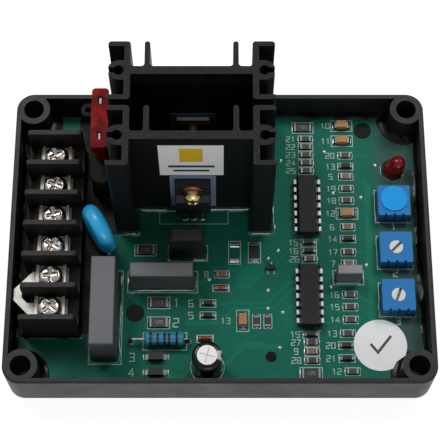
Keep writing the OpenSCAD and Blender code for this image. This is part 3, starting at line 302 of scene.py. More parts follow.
def dust_group():
    """Mask of fine dust that settles on faces that look up."""
    tree, given, out = new_group("Dust", {"Amount": 0.1, "Scale": 900.0}, "Mask")
    settled = maths(tree, "MULTIPLY", ranged(tree, axes(tree, facing(tree))["Z"], 0.5, 1.0), given["Amount"])
    spotted = ranged(tree, cloud(tree, position(tree), given["Scale"], 6.0), 0.45, 0.75)
    tree.links.new(maths(tree, "MULTIPLY", settled, spotted), out["Mask"])
    return tree


def upward_group():
    """Mask of the faces that look up, where a material's tops take a painted lighter colour than its sides, as if lit
    from above.
    """
    tree, _, out = new_group("Upward faces", {}, "Mask")
    tree.links.new(ranged(tree, axes(tree, facing(tree))["Z"], 0.55, 0.9), out["Mask"])
    return tree


def crevice_group():
    """Mask of recesses from ambient occlusion, where the colour is darkened as painted shade."""
    tree, given, out = new_group("Crevices", {"Amount": 0.6, "Distance": 0.0008}, "Mask")
    reach = {"Distance": given["Distance"]}
    clear = put(tree, "ShaderNodeAmbientOcclusion", reach, samples=6, only_local=True).outputs["AO"]
    tree.links.new(maths(tree, "MULTIPLY", ranged(tree, clear, 0.85, 0.4), given["Amount"]), out["Mask"])
    return tree


MAKERS = {
    "grain": grain_group, "wear": wear_group, "dust": dust_group, "upward": upward_group, "crevice": crevice_group
}
GROUPS = {}


def effect(tree, label, **values):
    """Places a shared effect in a material with its own values."""
    if label not in GROUPS:
        GROUPS[label] = MAKERS[label]()
    made = tree.nodes.new("ShaderNodeGroup")
    made.node_tree = GROUPS[label]
    for key, value in values.items():
        made.inputs[key].default_value = value
    return made.outputs


# Colour of the painted shade in recesses.
RECESS_SHADE = (0.01, 0.01, 0.01)
DUST = (0.5, 0.49, 0.46)


def finish(
    name, shade, second=None, rough=(0.4, 0.55), metal=0.0, grain=2500.0, depth=0.02, stretch=(1, 1, 1), patch=120.0,
    worn=None, wear=0.0, wear_radius=0.3, dust=0.0, upper=None, crevice=0.0, specular=0.5, coat=0.0, clear=0.0,
    base=None,
):
    """A material with mottled colour, grain, rubbed edges that also carry a painted edge highlight, settled dust,
    painted shade in recesses and a painted lighter top. Depths and radii are in millimetres.
    """
    made = bpy.data.materials.new(name)
    made.use_nodes = True
    tree = made.node_tree
    shader = tree.nodes["Principled BSDF"]
    texture = effect(tree, "grain", Scale=grain, Stretch=stretch, Patch=patch)
    result = base(tree) if base else mixed(tree, texture["Mottle"], shade, second or shaded(shade, 1.25))
    # Painted light: faces that look up take the lit top colour.
    if upper:
        result = mixed(tree, effect(tree, "upward")["Mask"], result, upper)
    # Painted shade: recesses are darkened.
    if crevice:
        result = mixed(tree, effect(tree, "crevice", Amount=crevice)["Mask"], result, RECESS_SHADE)
    if dust:
        result = mixed(tree, effect(tree, "dust", Amount=dust)["Mask"], result, DUST)
    # Rubbed edges take a lighter colour, partly wear and partly painted highlight.
    if wear:
        rubbed_and_lit = effect(tree, "wear", Radius=wear_radius * MM, Amount=wear)["Mask"]
        result = mixed(tree, rubbed_and_lit, result, worn or shaded(shade, 3))
    tree.links.new(result, shader.inputs["Base Color"])
    tree.links.new(ranged(tree, texture["Mottle"], 0.0, 1.0, *rough), shader.inputs["Roughness"])
    bump = put(tree, "ShaderNodeBump", {"Strength": 0.6, "Distance": depth * MM, "Height": texture["Height"]})
    tree.links.new(bump.outputs[0], shader.inputs["Normal"])
    for key, value in (
        ("Metallic", metal), ("Specular IOR Level", specular), ("Transmission Weight", clear), ("Coat Weight", coat),
        ("Coat Roughness", 0.08),
    ):
        shader.inputs[key].default_value = value
    return made


def plain(name, shade, second, rough=(0.35, 0.5), grain=1500):
    """A flat finish for film, paper and ink."""
    return finish(name, shade, shaded(shade, second), rough=rough, grain=grain, depth=0.01)


def moulding_finish(name="Black moulding", by=1.0, rough=(0.38, 0.48), specular=0.24):
    shade = tone("moulding", by)
    return finish(
        name, shade, shaded(shade, 1.3), rough=rough, grain=4200, depth=0.015, worn=linear("#45464a"), wear=0.25,
        wear_radius=0.2, dust=0.02, specular=specular,
    )


def solder_finish():
    shade = tone("tin", 0.5)
    return finish(
        "Solder", shade, shaded(shade, 0.8), rough=(0.22, 0.42), metal=1.0, grain=2200, depth=0.03, patch=500
    )


def tinned_finish():
    return finish(
        "Tinned metal", tone("tin"), tone("tin", 0.75), rough=(0.25, 0.4), metal=1.0, grain=3500, depth=0.01, patch=300
    )


def dress(material, *nodes):
    """Gives CAD nodes a material."""
    for name in nodes:
        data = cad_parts[name].data
        data.materials.clear()
        data.materials.append(material)


def soften(width, *nodes):
    """Rounds the sharp edges of CAD nodes, in millimetres, with modifiers that leave their meshes alone."""
    for name in nodes:
        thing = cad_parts[name]
        weld = thing.modifiers.new("Joined corners", "WELD")
        weld.merge_threshold = 0.001 * MM
        bevel = thing.modifiers.new("Softened edges", "BEVEL")
        bevel.width = width * MM
        bevel.segments = 2
        bevel.limit_method = "ANGLE"
        bevel.angle_limit = math.radians(40)
        bevel.harden_normals = True


def paint(nodes, *look, **more):
    """Gives CAD nodes, named in one string, a finish of their own."""
    dress(finish(*look, **more), *nodes.split())


# Mesh building, in millimetres


def piece(name, build, material, body=BASE, smooth=False):
    """A new piece on a CAD body, built by a function that fills a mesh in millimetres."""
    bm = bmesh.new()
    build(bm)
    bmesh.ops.recalc_face_normals(bm, faces=bm.faces)
    mesh = bpy.data.meshes.new(name)
    bm.to_mesh(mesh)
    bm.free()
    mesh.transform(Matrix.Scale(MM, 4))
    mesh.materials.append(material)
    if smooth:
        mesh.shade_smooth()
    thing = bpy.data.objects.new(name, mesh)
    bpy.context.scene.collection.objects.link(thing)
    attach(thing, body)
    return thing


def circle(steps):
    """Cosine and sine of evenly spaced turns."""
    turns = [2 * math.pi * k / steps for k in range(steps)]
    return [(math.cos(a), math.sin(a)) for a in turns]


def skin(bm, rows, closed=False, around=False, smooth=False):
    """Faces between rows of corners. The last row may join the first, and each row may run round to its own start."""
    for a, b in zip(rows, rows[1:] + rows[:1] if closed else rows[1:]):
        for k in range(len(a) if around else len(a) - 1):
            n = (k + 1) % len(a)
            corners = (a[k], a[n], b[n], b[k]) if around else (a[k], b[k], b[n], a[n])
            bm.faces.new(corners).smooth = smooth


def offsets(points, closed):
    """Mitre directions of a line of plan points."""
    count = len(points)
    found = []
    for i, p in enumerate(points):
        before = points[i - 1] if closed or i else None
        after = points[(i + 1) % count] if closed or i < count - 1 else None
        sides = []
        for a, b in ((before, p), (p, after)):
            if a is not None and b is not None and (b - a).length > 1e-6:
                d = (b - a).normalized()
                sides.append(Vector((-d.y, d.x)))
        mitre = sum(sides, Vector((0, 0))).normalized()
        found.append(mitre / max(0.5, mitre.dot(sides[0])))
    return found


def strip(bm, points, width, z, shoulder=0.0, rise=0.0, closed=False):
    """A strip along plan points. With a rise it is a low bar with sloping shoulders."""
    points = [Vector(p) for p in points]
    half = width / 2
    profile = [(-half, z), (half, z)]
    if rise:
        profile = [(-half - shoulder, z), (-half, z + rise), (half, z + rise), (half + shoulder, z)]
    rows = []
    for p, n in zip(points, offsets(points, closed)):
        rows.append([bm.verts.new((p.x + n.x * t, p.y + n.y * t, h)) for t, h in profile])
    skin(bm, rows, closed)


def outline(bm, lo, hi, margin, width, z):
    """A printed rectangle round a box."""
    x0, y0, x1, y1 = lo.x - margin, lo.y - margin, hi.x + margin, hi.y + margin
    strip(bm, [(x0, y0), (x1, y0), (x1, y1), (x0, y1)], width, z, closed=True)


def ring(bm, x, y, radius, width, z, steps=32):
    """A printed circle."""
    strip(bm, [(x + radius * u, y + radius * v) for u, v in circle(steps)], width, z, closed=True)


def turned(bm, x, y, profile, steps=16):
    """A turned surface from radius and height pairs."""
    rows = [[bm.verts.new((x + r * u, y + r * v, z)) for u, v in circle(steps)] for r, z in profile]
    skin(bm, rows, around=True)


STROKES = {
    "0": [[(0, 0), (0.6, 0), (0.6, 1), (0, 1), (0, 0)]],
    "1": [[(0.1, 0.75), (0.35, 1), (0.35, 0)]],
    "2": [[(0, 1), (0.6, 1), (0.6, 0.55), (0, 0.4), (0, 0), (0.6, 0)]],
    "3": [[(0, 1), (0.6, 1), (0.6, 0), (0, 0)], [(0.15, 0.5), (0.6, 0.5)]],
    "4": [[(0.45, 0), (0.45, 1), (0, 0.3), (0.65, 0.3)]],
    "5": [[(0.6, 1), (0, 1), (0, 0.55), (0.6, 0.55), (0.6, 0), (0, 0)]],
    "6": [[(0.6, 1), (0, 1), (0, 0), (0.6, 0), (0.6, 0.5), (0, 0.5)]],
    "7": [[(0, 1), (0.6, 1), (0.2, 0)]],
    "8": [[(0, 0), (0.6, 0), (0.6, 1), (0, 1), (0, 0)], [(0, 0.5), (0.6, 0.5)]],
    "9": [[(0, 0), (0.6, 0), (0.6, 1), (0, 1), (0, 0.5), (0.6, 0.5)]],
}


def number(bm, value, x, y, height, line, z):
    """A plain printed number, centred on a point."""
    pitch, space = 0.9, 0.3
    digits = str(value)
    start = x - height * (pitch * len(digits) - space) / 2
    for i, digit in enumerate(digits):
        left = start + i * pitch * height
        for stroke in STROKES[digit]:
            strip(bm, [(left + px * height, y + (py - 0.5) * height) for px, py in stroke], line, z)


def solder_wedge(bm, x, y, away, reach, width, height):
    """A hollow-faced solder fillet that runs down from a metal end to its pad."""
    side = Vector((-away.y, away.x))
    steps, taper, crest = 4, 0.12, 0.8
    foot = BOARD_TOP + 0.01
    rows = []
    for i in range(steps + 1):
        t = i / steps
        at = Vector((x, y)) + away * reach * t
        half = width / 2 * (1 - taper * t * t)
        z = BOARD_TOP + 0.03 + height * (1 - t) ** 2
        corners = (
            (at - side * half, foot), (at - side * half * crest, z),
            (at + side * half * crest, z), (at + side * half, foot),
        )
        rows.append([bm.verts.new((*p, h)) for p, h in corners])
    skin(bm, rows)


def solder_cone(bm, x, y, pad, lead, height):
    """A hollow-faced solder cone round a lead."""
    steps = 4
    profile = [(pad, BOARD_TOP + 0.01)]
    for i in range(steps + 1):
        t = i / steps
        profile.append((pad + (lead - pad) * t, BOARD_TOP + 0.04 + height * t * t))
    turned(bm, x, y, profile)


def skirt(bm, lo, hi, corner, width, height):
    """Varnish drawn up round the foot of a piece: a hollow fillet along a rounded rectangle."""
    spacing, across, inset, film = 1.2, 5, 0.05, 0.012
    line = []
    for sx, sy, turn in ((1, 1, 0), (-1, 1, 90), (-1, -1, 180), (1, -1, 270)):
        x = hi.x - corner if sx > 0 else lo.x + corner
        y = hi.y - corner if sy > 0 else lo.y + corner
        for i in range(7):
            a = math.radians(turn + 15 * i)
            line.append(Vector((x + corner * math.cos(a), y + corner * math.sin(a), math.cos(a), math.sin(a))))
    rows = []
    for p, q in zip(line, line[1:] + line[:1]):
        steps = max(1, int((q - p).xy.length / spacing))
        for k in range(steps):
            x, y, nx, ny = p + (q - p) * k / steps
            wave = noise.noise(Vector((x * 0.5, y * 0.5, 3.3)))
            row = []
            for m in range(across + 1):
                t = m / across
                out = width * (1 + 0.5 * wave) * t - inset
                z = BOARD_TOP + film + height * (1 + 0.4 * wave) * (1 - t) ** 2.2
                row.append(bm.verts.new((x + nx * out, y + ny * out, z)))
            rows.append(row)
    skin(bm, rows, closed=True)


def crown(bm, radius, dome, depth, degrees, place):
    """A domed screw face with a cross recess, from a height at each share of the radius.

    It is put in place by a function.
    """
    rings, steps = 14, 48
    slot_share, slot_reach = 0.15, 0.62
    turn = math.radians(degrees)
    rows = []
    for i in range(1, rings + 1):
        share = i / rings
        row = []
        for k in range(steps):
            a = 2 * math.pi * (k + 0.5) / steps
            height = dome(share)
            if share < slot_reach and share * min(abs(math.cos(a)), abs(math.sin(a))) < slot_share:
                height -= depth * (1 - share)
            out = radius * share
            row.append(bm.verts.new(place(out * math.cos(a + turn), out * math.sin(a + turn), height)))
        rows.append(row)
    skin(bm, rows, around=True)
    bm.faces.new(rows[0])


# Operators


class REGULATOR_OT_stage(bpy.types.Operator):
    """Set up the floor, the surrounding light, the softboxes and the camera"""

    bl_idname = "regulator.stage"
    bl_label = "Stage"

    def execute(self, context):
        scene = context.scene
        settings = scene.regulator_stage
        scene.view_settings.view_transform = "Standard"
        self.ground(scene)
        self.sky(scene, settings.sky)
        self.softboxes(scene, settings)
        self.camera(scene, settings)
        return {"FINISHED"}

    def ground(self, scene):
        bm = bmesh.new()
        bmesh.ops.create_grid(bm, x_segments=1, y_segments=1, size=3)
        mesh = bpy.data.meshes.new("floor")
        bm.to_mesh(mesh)
        bm.free()
        floor = bpy.data.objects.new("floor", mesh)
        floor.location.z = -0.0002
        scene.collection.objects.link(floor)
        mesh.materials.append(self.paper())

    def paper(self):
        """White paper that glows for the camera and in mirrors, except under the module."""
        glow_strength, glow_share = 1.27, 0.72
        corner = 7 * MM
        paper = bpy.data.materials.new("Paper sweep")
        paper.use_nodes = True
        tree = paper.node_tree
        shader = tree.nodes["Principled BSDF"]
        shader.inputs["Base Color"].default_value = (0.86, 0.86, 0.86, 1)
        shader.inputs["Roughness"].default_value = 0.9
        shader.inputs["Specular IOR Level"].default_value = 0.1
        path = put(tree, "ShaderNodeLightPath").outputs
        seen = maths(tree, "MAXIMUM", path["Is Camera Ray"], path["Is Glossy Ray"])
        seen = maths(tree, "MAXIMUM", seen, path["Is Transmission Ray"])
        at = axes(tree, position(tree))
        half = box("case")[1] * 0.985 * MM
        reach = []
        for axis, limit in (("X", half.x), ("Y", half.y)):
            past = maths(tree, "SUBTRACT", maths(tree, "ABSOLUTE", at[axis]), limit - corner)
            reach.append(maths(tree, "POWER", maths(tree, "MAXIMUM", past, 0.0), 2.0))
        far = maths(tree, "SQRT", maths(tree, "ADD", *reach))
        seen = maths(tree, "MULTIPLY", seen, maths(tree, "GREATER_THAN", far, corner))
        glow = put(tree, "ShaderNodeEmission", {"Color": (1, 1, 1, 1), "Strength": glow_strength})
        share = maths(tree, "MULTIPLY", seen, glow_share)
        mix = put(tree, "ShaderNodeMixShader", {0: share, 1: shader.outputs[0], 2: glow.outputs[0]})
        tree.links.new(mix.outputs[0], tree.nodes["Material Output"].inputs["Surface"])
        return paper

    def sky(self, scene, strength):
        """White to the camera, half as bright in mirrors, and dim as a light."""
        world = bpy.data.worlds.new("Studio")
        world.use_nodes = True
        scene.world = world
        tree = world.node_tree
        path = put(tree, "ShaderNodeLightPath").outputs
        seen = maths(tree, "MAXIMUM", path["Is Camera Ray"], path["Is Transmission Ray"])
        seen = maths(tree, "MAXIMUM", seen, maths(tree, "MULTIPLY", path["Is Glossy Ray"], 0.5))
        background = tree.nodes["Background"].inputs
        background["Color"].default_value = (1, 1, 1, 1)
        tree.links.new(ranged(tree, seen, 0.0, 1.0, strength, 1.0), background["Strength"])

    def softboxes(self, scene, settings):
        target = Vector((0, 0, 0.02))
        for name, energy, at, spread in (
            ("left_softbox", settings.left, (-0.4, 0.45, 0.82), (0.3, 0.3)),
            ("right_softbox", settings.right, (0.4, 0.45, 0.82), (0.3, 0.3)),
            ("fill_softbox", settings.fill, (0.1, -0.8, 0.42), (0.5, 0.3)),
            ("overhead_softbox", settings.overhead, (0.0, 0.4, 0.95), (1.1, 0.8)),
        ):
            lamp = bpy.data.lights.new(name, "AREA")
            lamp.shape = "RECTANGLE"
            lamp.size, lamp.size_y = spread
            lamp.energy = energy
            thing = bpy.data.objects.new(name, lamp)
            thing.location = at
            thing.rotation_euler = (target - Vector(at)).to_track_quat("-Z", "Y").to_euler()
            scene.collection.objects.link(thing)

    def camera(self, scene, settings):
        lens = bpy.data.cameras.new("camera")
        lens.sensor_width = 36
        lens.lens = settings.lens
        lens.clip_start = 0.01
        camera = bpy.data.objects.new("camera", lens)
        camera.location = settings.camera_at
        camera.rotation_euler = (settings.tilt, 0, 0)
        scene.collection.objects.link(camera)
        scene.camera = camera


class REGULATOR_OT_tray(bpy.types.Operator):
    """Finish the moulded tray and let the cast resin creep up its walls"""

    bl_idname = "regulator.tray"
    bl_label = "Tray and resin"

    def execute(self, context):
        # Rubbed edges take a lighter colour, partly wear and partly painted highlight.
        paint(
            "case", "Moulded tray", tone("case"), tone("case", 1.15), rough=(0.42, 0.52), grain=5200, depth=0.03,
            worn=linear("#4a4b4e"), wear=0.25, dust=0.03, specular=0.29,
        )
        resin = finish(
            "Cast resin", tone("resin"), linear("#0b0c0d"), rough=(0.16, 0.3), grain=300, depth=0.1, specular=0.14
        )
        dress(resin, "potting_compound")
        piece("resin_creep", self.creep, resin, smooth=True)
        piece("resin_pool", self.pool, resin)
        return {"FINISHED"}

    def creep(self, bm):
        """Resin that has run over the board's edge and climbed the walls, along the cavity's outline."""
        boss, arc_steps, spacing, across = 4.8, 24, 0.8, 6
        rear_gap, front_gap, rear_share = 2.4, 1.5, 0.15
        film, bead = 0.02, 0.16
        lo, hi = box("potting_compound")
        board = box("circuit_board")[1]
        hole = Vector((hi.x - HOLE_IN, hi.y - HOLE_IN))
        run_x = math.sqrt(boss**2 - (hi.x - hole.x) ** 2)
        start = math.atan2(-run_x, hi.x - hole.x)
        corner = []
        for i in range(arc_steps + 1):
            a = start - (2 * math.pi - (math.pi / 2 - 2 * start)) * i / arc_steps
            corner.append((hole.x + boss * math.cos(a), hole.y + boss * math.sin(a), math.cos(a), math.sin(a)))
        path = []
        for sx, sy in ((1, 1), (-1, 1), (-1, -1), (1, -1)):
            gap = rear_gap if sy > 0 else front_gap
            arc = [(x * sx, y * sy, nx * sx, ny * sy, gap) for x, y, nx, ny in corner]
            path.append(arc if sx * sy > 0 else arc[::-1])
        walls = ((0, -1, hi.y - board.y), (1, 0, hi.x - board.x), (0, 1, hi.y - board.y), (-1, 0, hi.x - board.x))
        line = []
        for k, (nx, ny, gap) in enumerate(walls):
            line += path[k]
            a, b = path[k][-1], path[(k + 1) % 4][0]
            steps = int(math.dist(a[:2], b[:2]) / spacing)
            for i in range(1, steps):
                t = i / steps
                line.append((a[0] + (b[0] - a[0]) * t, a[1] + (b[1] - a[1]) * t, nx, ny, gap))
        creep, rise = size("resin_creep"), size("resin_rise")
        rows = []
        for x, y, nx, ny, gap in line:
            wave = noise.noise(Vector((x * 0.22, y * 0.22, 1.7)))
            ripple = noise.noise(Vector((x * 0.9, y * 0.9, 5.1)))
            reach = gap + creep * max(0.15, 0.7 + 1.1 * wave + 0.5 * ripple)
            climb = rise * max(0.3, 0.8 + 0.9 * noise.noise(Vector((x * 0.12, y * 0.12, 8.3))))
            if ny < -0.99:
                climb *= rear_share
            row = []
            for i in range(across + 1):
                t = i / across
                z = BOARD_TOP + film + climb * (1 - t) ** 2.6 + bead * (1 - t**4)
                px = min(max(x + nx * reach * t, lo.x), hi.x)
                py = min(max(y + ny * reach * t, lo.y), hi.y)
                row.append(bm.verts.new((px, py, z)))
            rows.append(row)
        skin(bm, rows, closed=True)

    def pool(self, bm):
        """Resin that has run over the board round the terminal strip, up to the fuse and the large capacitor."""
        under, boss, arc_steps, spacing = 0.4, 5.0, 12, 0.9
        edge = ((0, 0.01), (0.12, 0.1), (0.4, 0.16))
        lo, hi = box("potting_compound")
        block, block_top = box("terminal_block")
        film, film_top = box("large_film_capacitor")
        sink = box("rear_heatsink")[0].x + under
        sink_end = box("front_heatsink")[0].y
        hole = Vector((lo.x + HOLE_IN, hi.y - HOLE_IN))
        turn = math.acos(HOLE_IN / boss)
        corners = [
            (lo.x + 0.1, block.y + 0.5), (block.x + under, block.y + 0.2), (block.x + under, block_top.y - under),
            (-50.5, block_top.y - under), (-49.2, 41.6), (-43.2, 42), (-41.9, block_top.y - 1),
            (block_top.x - under, block_top.y - 1.5), (block_top.x - under, block.y + 0.6),
            (film.x + under, block.y + 1.4), (film.x + under, film_top.y - under), (-34, film_top.y + 1.2),
            (-32.4, sink_end - 2), (sink, sink_end + 0.6), (sink, hi.y - 0.1),
        ]
        for i in range(arc_steps + 1):
            a = math.pi / 2 - turn - (3 * math.pi / 2 - 2 * turn) * i / arc_steps
            corners.append((hole.x + boss * math.cos(a), hole.y + boss * math.sin(a)))
        line = []
        for a, b in zip(corners, corners[1:] + corners[:1]):
            a, b = Vector(a), Vector(b)
            steps = max(1, int((b - a).length / spacing))
            line += [a + (b - a) * k / steps for k in range(steps)]
        rows = []
        for p, n in zip(line, offsets(line, True)):
            wave = 0.5 * noise.noise(Vector((p.x * 0.35, p.y * 0.35, 2.9)))
            rows.append([bm.verts.new((*(p + n * (wave + d)), BOARD_TOP + h)) for d, h in edge])
        skin(bm, rows, closed=True, smooth=True)
        bm.faces.new([row[-1] for row in rows])
        skirt(bm, block, block_top, 0.5, 0.9, 0.8)
        foot, foot_top = box("fuse_holder")
        foot.x = foot_top.x - 6.6
        skirt(bm, foot, foot_top, 3.29, 0.7, 0.7)


class REGULATOR_OT_board(bpy.types.Operator):
    """Finish the circuit board with its tracks, solder and print"""

    bl_idname = "regulator.board"
    bl_label = "Circuit board"

    def execute(self, context):
        bare, over = tone("mask"), tone("mask_copper")
        paint(
            "circuit_board", "Solder mask", bare, rough=(0.26, 0.36), grain=1900, depth=0.015, dust=0.02, specular=0.1,
            base=self.hazed(shaded(bare, 0.9), shaded(bare, 1.1)),
        )
        tracks = finish(
            "Mask on copper", over, rough=(0.25, 0.34), grain=1600, depth=0.015, specular=0.12,
            base=self.hazed(over, shaded(over, 1.1)),
        )
        silk = finish("Board print", tone("silk"), linear("#a8c4b7"), rough=(0.6, 0.75), grain=4000, depth=0.01)
        solder = solder_finish()
        piece("board_tracks", self.tracks, tracks)
        piece("board_print", self.print, silk)
        piece("solder_joints", self.solder, solder, smooth=True)
        piece("via_rings", self.vias, tinned_finish())
        wet = shaded(bare, 0.45)
        varnish = finish("Varnish", wet, shaded(wet, 1.3), rough=(0.06, 0.12), grain=500, depth=0.02, coat=0.6)
        piece("varnish_skirts", self.skirts, varnish, smooth=True)
        return {"FINISHED"}

    def hazed(self, dark, light):
        """Mottled solder mask that greys towards the right wall."""
        grey_from, grey_to, grey_most = 45.5 * MM, 50.5 * MM, 0.85

        def base(tree):
            mottle = effect(tree, "grain", Patch=60.0)["Mottle"]
            towards_wall = ranged(tree, axes(tree, position(tree))["X"], grey_from, grey_to, 0.0, grey_most)
            return mixed(tree, towards_wall, mixed(tree, mottle, dark, light), tone("haze"))

        return base

    def skirts(self, bm):
        """Varnish round the feet of the large parts."""
        flange, web_inset, web_half = 6.2, 4, 1.2
        for node, width, height in (
            ("large_film_capacitor", 0.9, 0.9), ("medium_film_capacitor", 0.9, 0.9), ("small_film_capacitor", 0.7, 0.7),
            ("bridge_rectifier", 0.9, 0.9), *((trimmer, 0.7, 0.6) for trimmer in TRIMMERS),
        ):
            skirt(bm, *box(node), 0.5, width, height)
        for node in ("electrolytic_sleeve", "indicator_led"):
            lo, hi = box(node)
            skirt(bm, lo, hi, (hi.x - lo.x) / 2 - 0.01, 0.7, 0.7)
        for node in ("rear_heatsink", "front_heatsink"):
            lo, hi = box(node)
            web = (lo.y + hi.y) / 2
            for a, b in (
                ((lo.x, lo.y), (lo.x + flange, hi.y)),
                ((hi.x - flange, lo.y), (hi.x, hi.y)),
                ((lo.x + web_inset, web - web_half), (hi.x - web_inset, web + web_half)),
            ):
                skirt(bm, Vector(a), Vector(b), 0.6, 1.1, 1.0)

    def tracks(self, bm):
        """Copper tracks under the mask: pins to chips, chips to trimmers, and buses along the board."""
        width, early, shortest = size("track"), 0.35, 0.05

        def bar(points, w=width):
            strip(bm, points, w, BOARD_TOP, shoulder=0.06, rise=0.035)

        def run(a, b, w=width):
            (ax, ay), (bx, by) = a, b
            dx, dy = bx - ax, by - ay
            diagonal = min(abs(dx), abs(dy))
            sx, sy = math.copysign(1, dx), math.copysign(1, dy)
            if abs(dx) >= abs(dy):
                lead = (abs(dx) - diagonal) * early
                points = [a, (ax + sx * lead, ay), (ax + sx * (lead + diagonal), by), b]
            else:
                lead = (abs(dy) - diagonal) * early
                points = [a, (ax, ay + sy * lead), (bx, ay + sy * (lead + diagonal)), b]
            kept = [points[0]]
            for p in points[1:]:
                if math.dist(p, kept[-1]) > shortest:
                    kept.append(p)
            bar(kept, w)

        ends = centres("chip_ends")
        axis = middle("rear_amplifier").x
        right = [p for p in centres("amplifier_pins") if p.x > axis]
        column = [e for e in ends if axis + 6 < e.x < axis + 11.6]
        for e in column:
            p = min(right, key=lambda p: abs(e.y - p.y))
            if abs(e.y - p.y) < 2.5 and e == min(column, key=lambda other: abs(other.y - p.y)):
                run((p.x, p.y), (e.x, e.y))
        for a, b in self.stubs():
            run(a, b)
        for i in range(5):
            x, y = axis - 9.9 + 0.9 * i, -0.9 * i
            bar([(x, 36 - i), (x, 1 + y), (x - 4.5, y - 3.5), (x - 8.5, y - 3.5)], width * 0.8)
        for points in (
            [(axis - 4.2, -11.7), (axis - 5.6, -11.7), (13.7, -18.5), (-0.6, -18.5)],
            [(axis - 4.2, -14.3), (axis - 5, -14.3), (15.4, -20), (4, -20), (1.8, -22.2), (-0.6, -22.2)],
            [(axis - 4.2, -19.3), (axis - 5.4, -19.3), (18.2, -21.8)],
        ):
            bar(points)
        for points in (
            [(-9.9, -25.1), (0.6, -25.1), (2, -23.6), (-9.9, -23.6)],
            [(3.4, -32.3), (17.4, -32.3), (17.4, -30.8), (4.9, -30.8)],
            [(4.6, -13.9), (8.8, -13.9), (13, -9.7), (13, -5), (4.6, -5)],
            [(43.3, -27), (45.3, -27), (45.3, 19), (43.3, 21)],
            [(-29, -42.4), (-12, -42.4), (-12, -40.9), (-29, -40.9)],
        ):
            bm.faces.new([bm.verts.new((x, y, BOARD_TOP + 0.01)) for x, y in points])
        pins = centres("trimmer_pins")
        outer = [e for e in ends if e.x > axis + 12.6]
        for i, e in enumerate(sorted(outer, key=lambda e: -e.y)):
            target = min(pins, key=lambda t: abs(t.y - e.y) + 0.2 * abs(t.x - e.x))
            if i % 2 == 0 and abs(target.y - e.y) < 6:
                run((e.x, e.y), (target.x - 5.2, target.y))
        lamp = middle("indicator_led")
        run((lamp.x - 1.3, lamp.y), (axis + 14.5, lamp.y + 4.8))
        run((lamp.x + 1.3, lamp.y), (lamp.x + 4.4, lamp.y - 9))
        run((lamp.x + 4.4, lamp.y - 9), (lamp.x + 4.4, -24))
        film = middle("medium_film_capacitor")
        for dx, dy in ((-8.6, -14), (7.2, -9), (10.5, 4)):
            run((film.x + dx * 0.8, film.y), (film.x + dx * 2.1, film.y + dy), w=1.6)
        can = middle("electrolytic_can")
        run((can.x + 1.8, can.y), (can.x + 16, can.y + 7), w=1.2)
        run((can.x - 1.8, can.y), (can.x - 12, can.y - 3), w=1.2)

    def stubs(self):
        """Short tracks from the amplifiers' left pins to plated holes."""
        axis = middle("rear_amplifier").x
        found = []
        for i, p in enumerate([c for c in centres("amplifier_pins") if c.x < axis]):
            if p.y > 0 or i % 2:
                found.append(((p.x, p.y), (p.x - (1.3 if i % 2 else 2.1), p.y + 0.6)))
        return found

    def print(self, bm):
        """Printed boxes and plain numbers."""
        line, tall = size("print_line"), size("print_height")
        z = BOARD_TOP + 0.045
        self.boxes(bm, line, z)
        beside = 4.6
        axis = middle("rear_amplifier").x
        chips = centres("chip_resistors")
        for i, c in enumerate([c for c in chips if abs(c.x - axis) < 3]):
            number(bm, 21 + i, c.x - beside, c.y, tall, line, z)
        for i, c in enumerate([c for c in chips if axis + 6 < c.x]):
            number(bm, 20 - i, c.x - beside, c.y, tall, line, z)
        for node, first, left in (
            ("tantalum_capacitors", 10, 5.0), ("ceramic_capacitors", 5, beside), ("chip_diodes", 13, beside)
        ):
            for i, c in enumerate(centres(node)):
                if c.x > 0:
                    number(bm, first + i, c.x - left, c.y, tall, line, z)
        for i, c in enumerate([c for c in centres("large_chip_resistors") if c.x < -10][-2:]):
            number(bm, 1 + i, c.x + 5.0, c.y, tall * 1.5, line * 1.3, z)
        for i, c in enumerate(centres("power_diodes")):
            number(bm, 3 + i, c.x - 7.0, c.y, tall * 1.4, line * 1.3, z)
        for i, c in enumerate([c for c in centres("chip_diodes") if c.x < 0]):
            number(bm, 6 - i, c.x - 5.0, c.y, tall * 1.2, line * 1.1, z)
        for i, node in enumerate(TRIMMERS):
            number(bm, i + 1, middle(node).x, box(node)[0].y - 1.7, 2.1, line * 1.9, z)

    def boxes(self, bm, line, z):
        """Outlines round the parts."""
        ends = centres("chip_ends", "diode_leads")
        for node, along, aside in (
            ("chip_resistors", 1.0, 0.35), ("large_chip_resistors", 1.1, 0.4), ("tantalum_capacitors", 1.7, 0.5),
            ("ceramic_capacitors", 1.0, 0.35), ("chip_diodes", 1.0, 0.35), ("glass_diodes", 1.1, 0.35),
        ):
            for lo, hi in solids(node):
                gap = min([e - (lo + hi) / 2 for e in ends], key=lambda g: g.length)
                mx, my = (along, aside) if abs(gap.x) > abs(gap.y) else (aside, along)
                outline(bm, Vector((lo.x - mx, lo.y - my)), Vector((hi.x + mx, hi.y + my)), 0, line, z)
        for node, margin in (
            ("large_film_capacitor", 1.2), ("medium_film_capacitor", 1.1), ("small_film_capacitor", 0.8),
            ("bridge_rectifier", 0.7), ("terminal_block", 0.5), *((trimmer, 0.5) for trimmer in TRIMMERS),
        ):
            outline(bm, *box(node), margin, line, z)
        for node in ("rear_amplifier", "front_amplifier"):
            lo, hi = box(node)
            for y in (lo.y - 0.5, hi.y + 0.5):
                strip(bm, [(lo.x, y), (hi.x, y)], line, z)
        for node, margin in (("indicator_led", 0.5), ("electrolytic_sleeve", 0.45)):
            lo, hi = box(node)
            at = middle(node)
            ring(bm, at.x, at.y, (hi.x - lo.x) / 2 + margin, line, z)
        lo, hi = box("power_resistor")
        body, half = middle("power_resistor"), Vector(((hi.x - lo.x) / 2, 2, 0))
        outline(bm, body - half, body + half, 0.6, line, z)
        feet = middle("front_thyristor")
        outline(bm, feet - Vector((10.2, 2.4, 0)), feet + Vector((10.2, 3, 0)), 0, line, z)
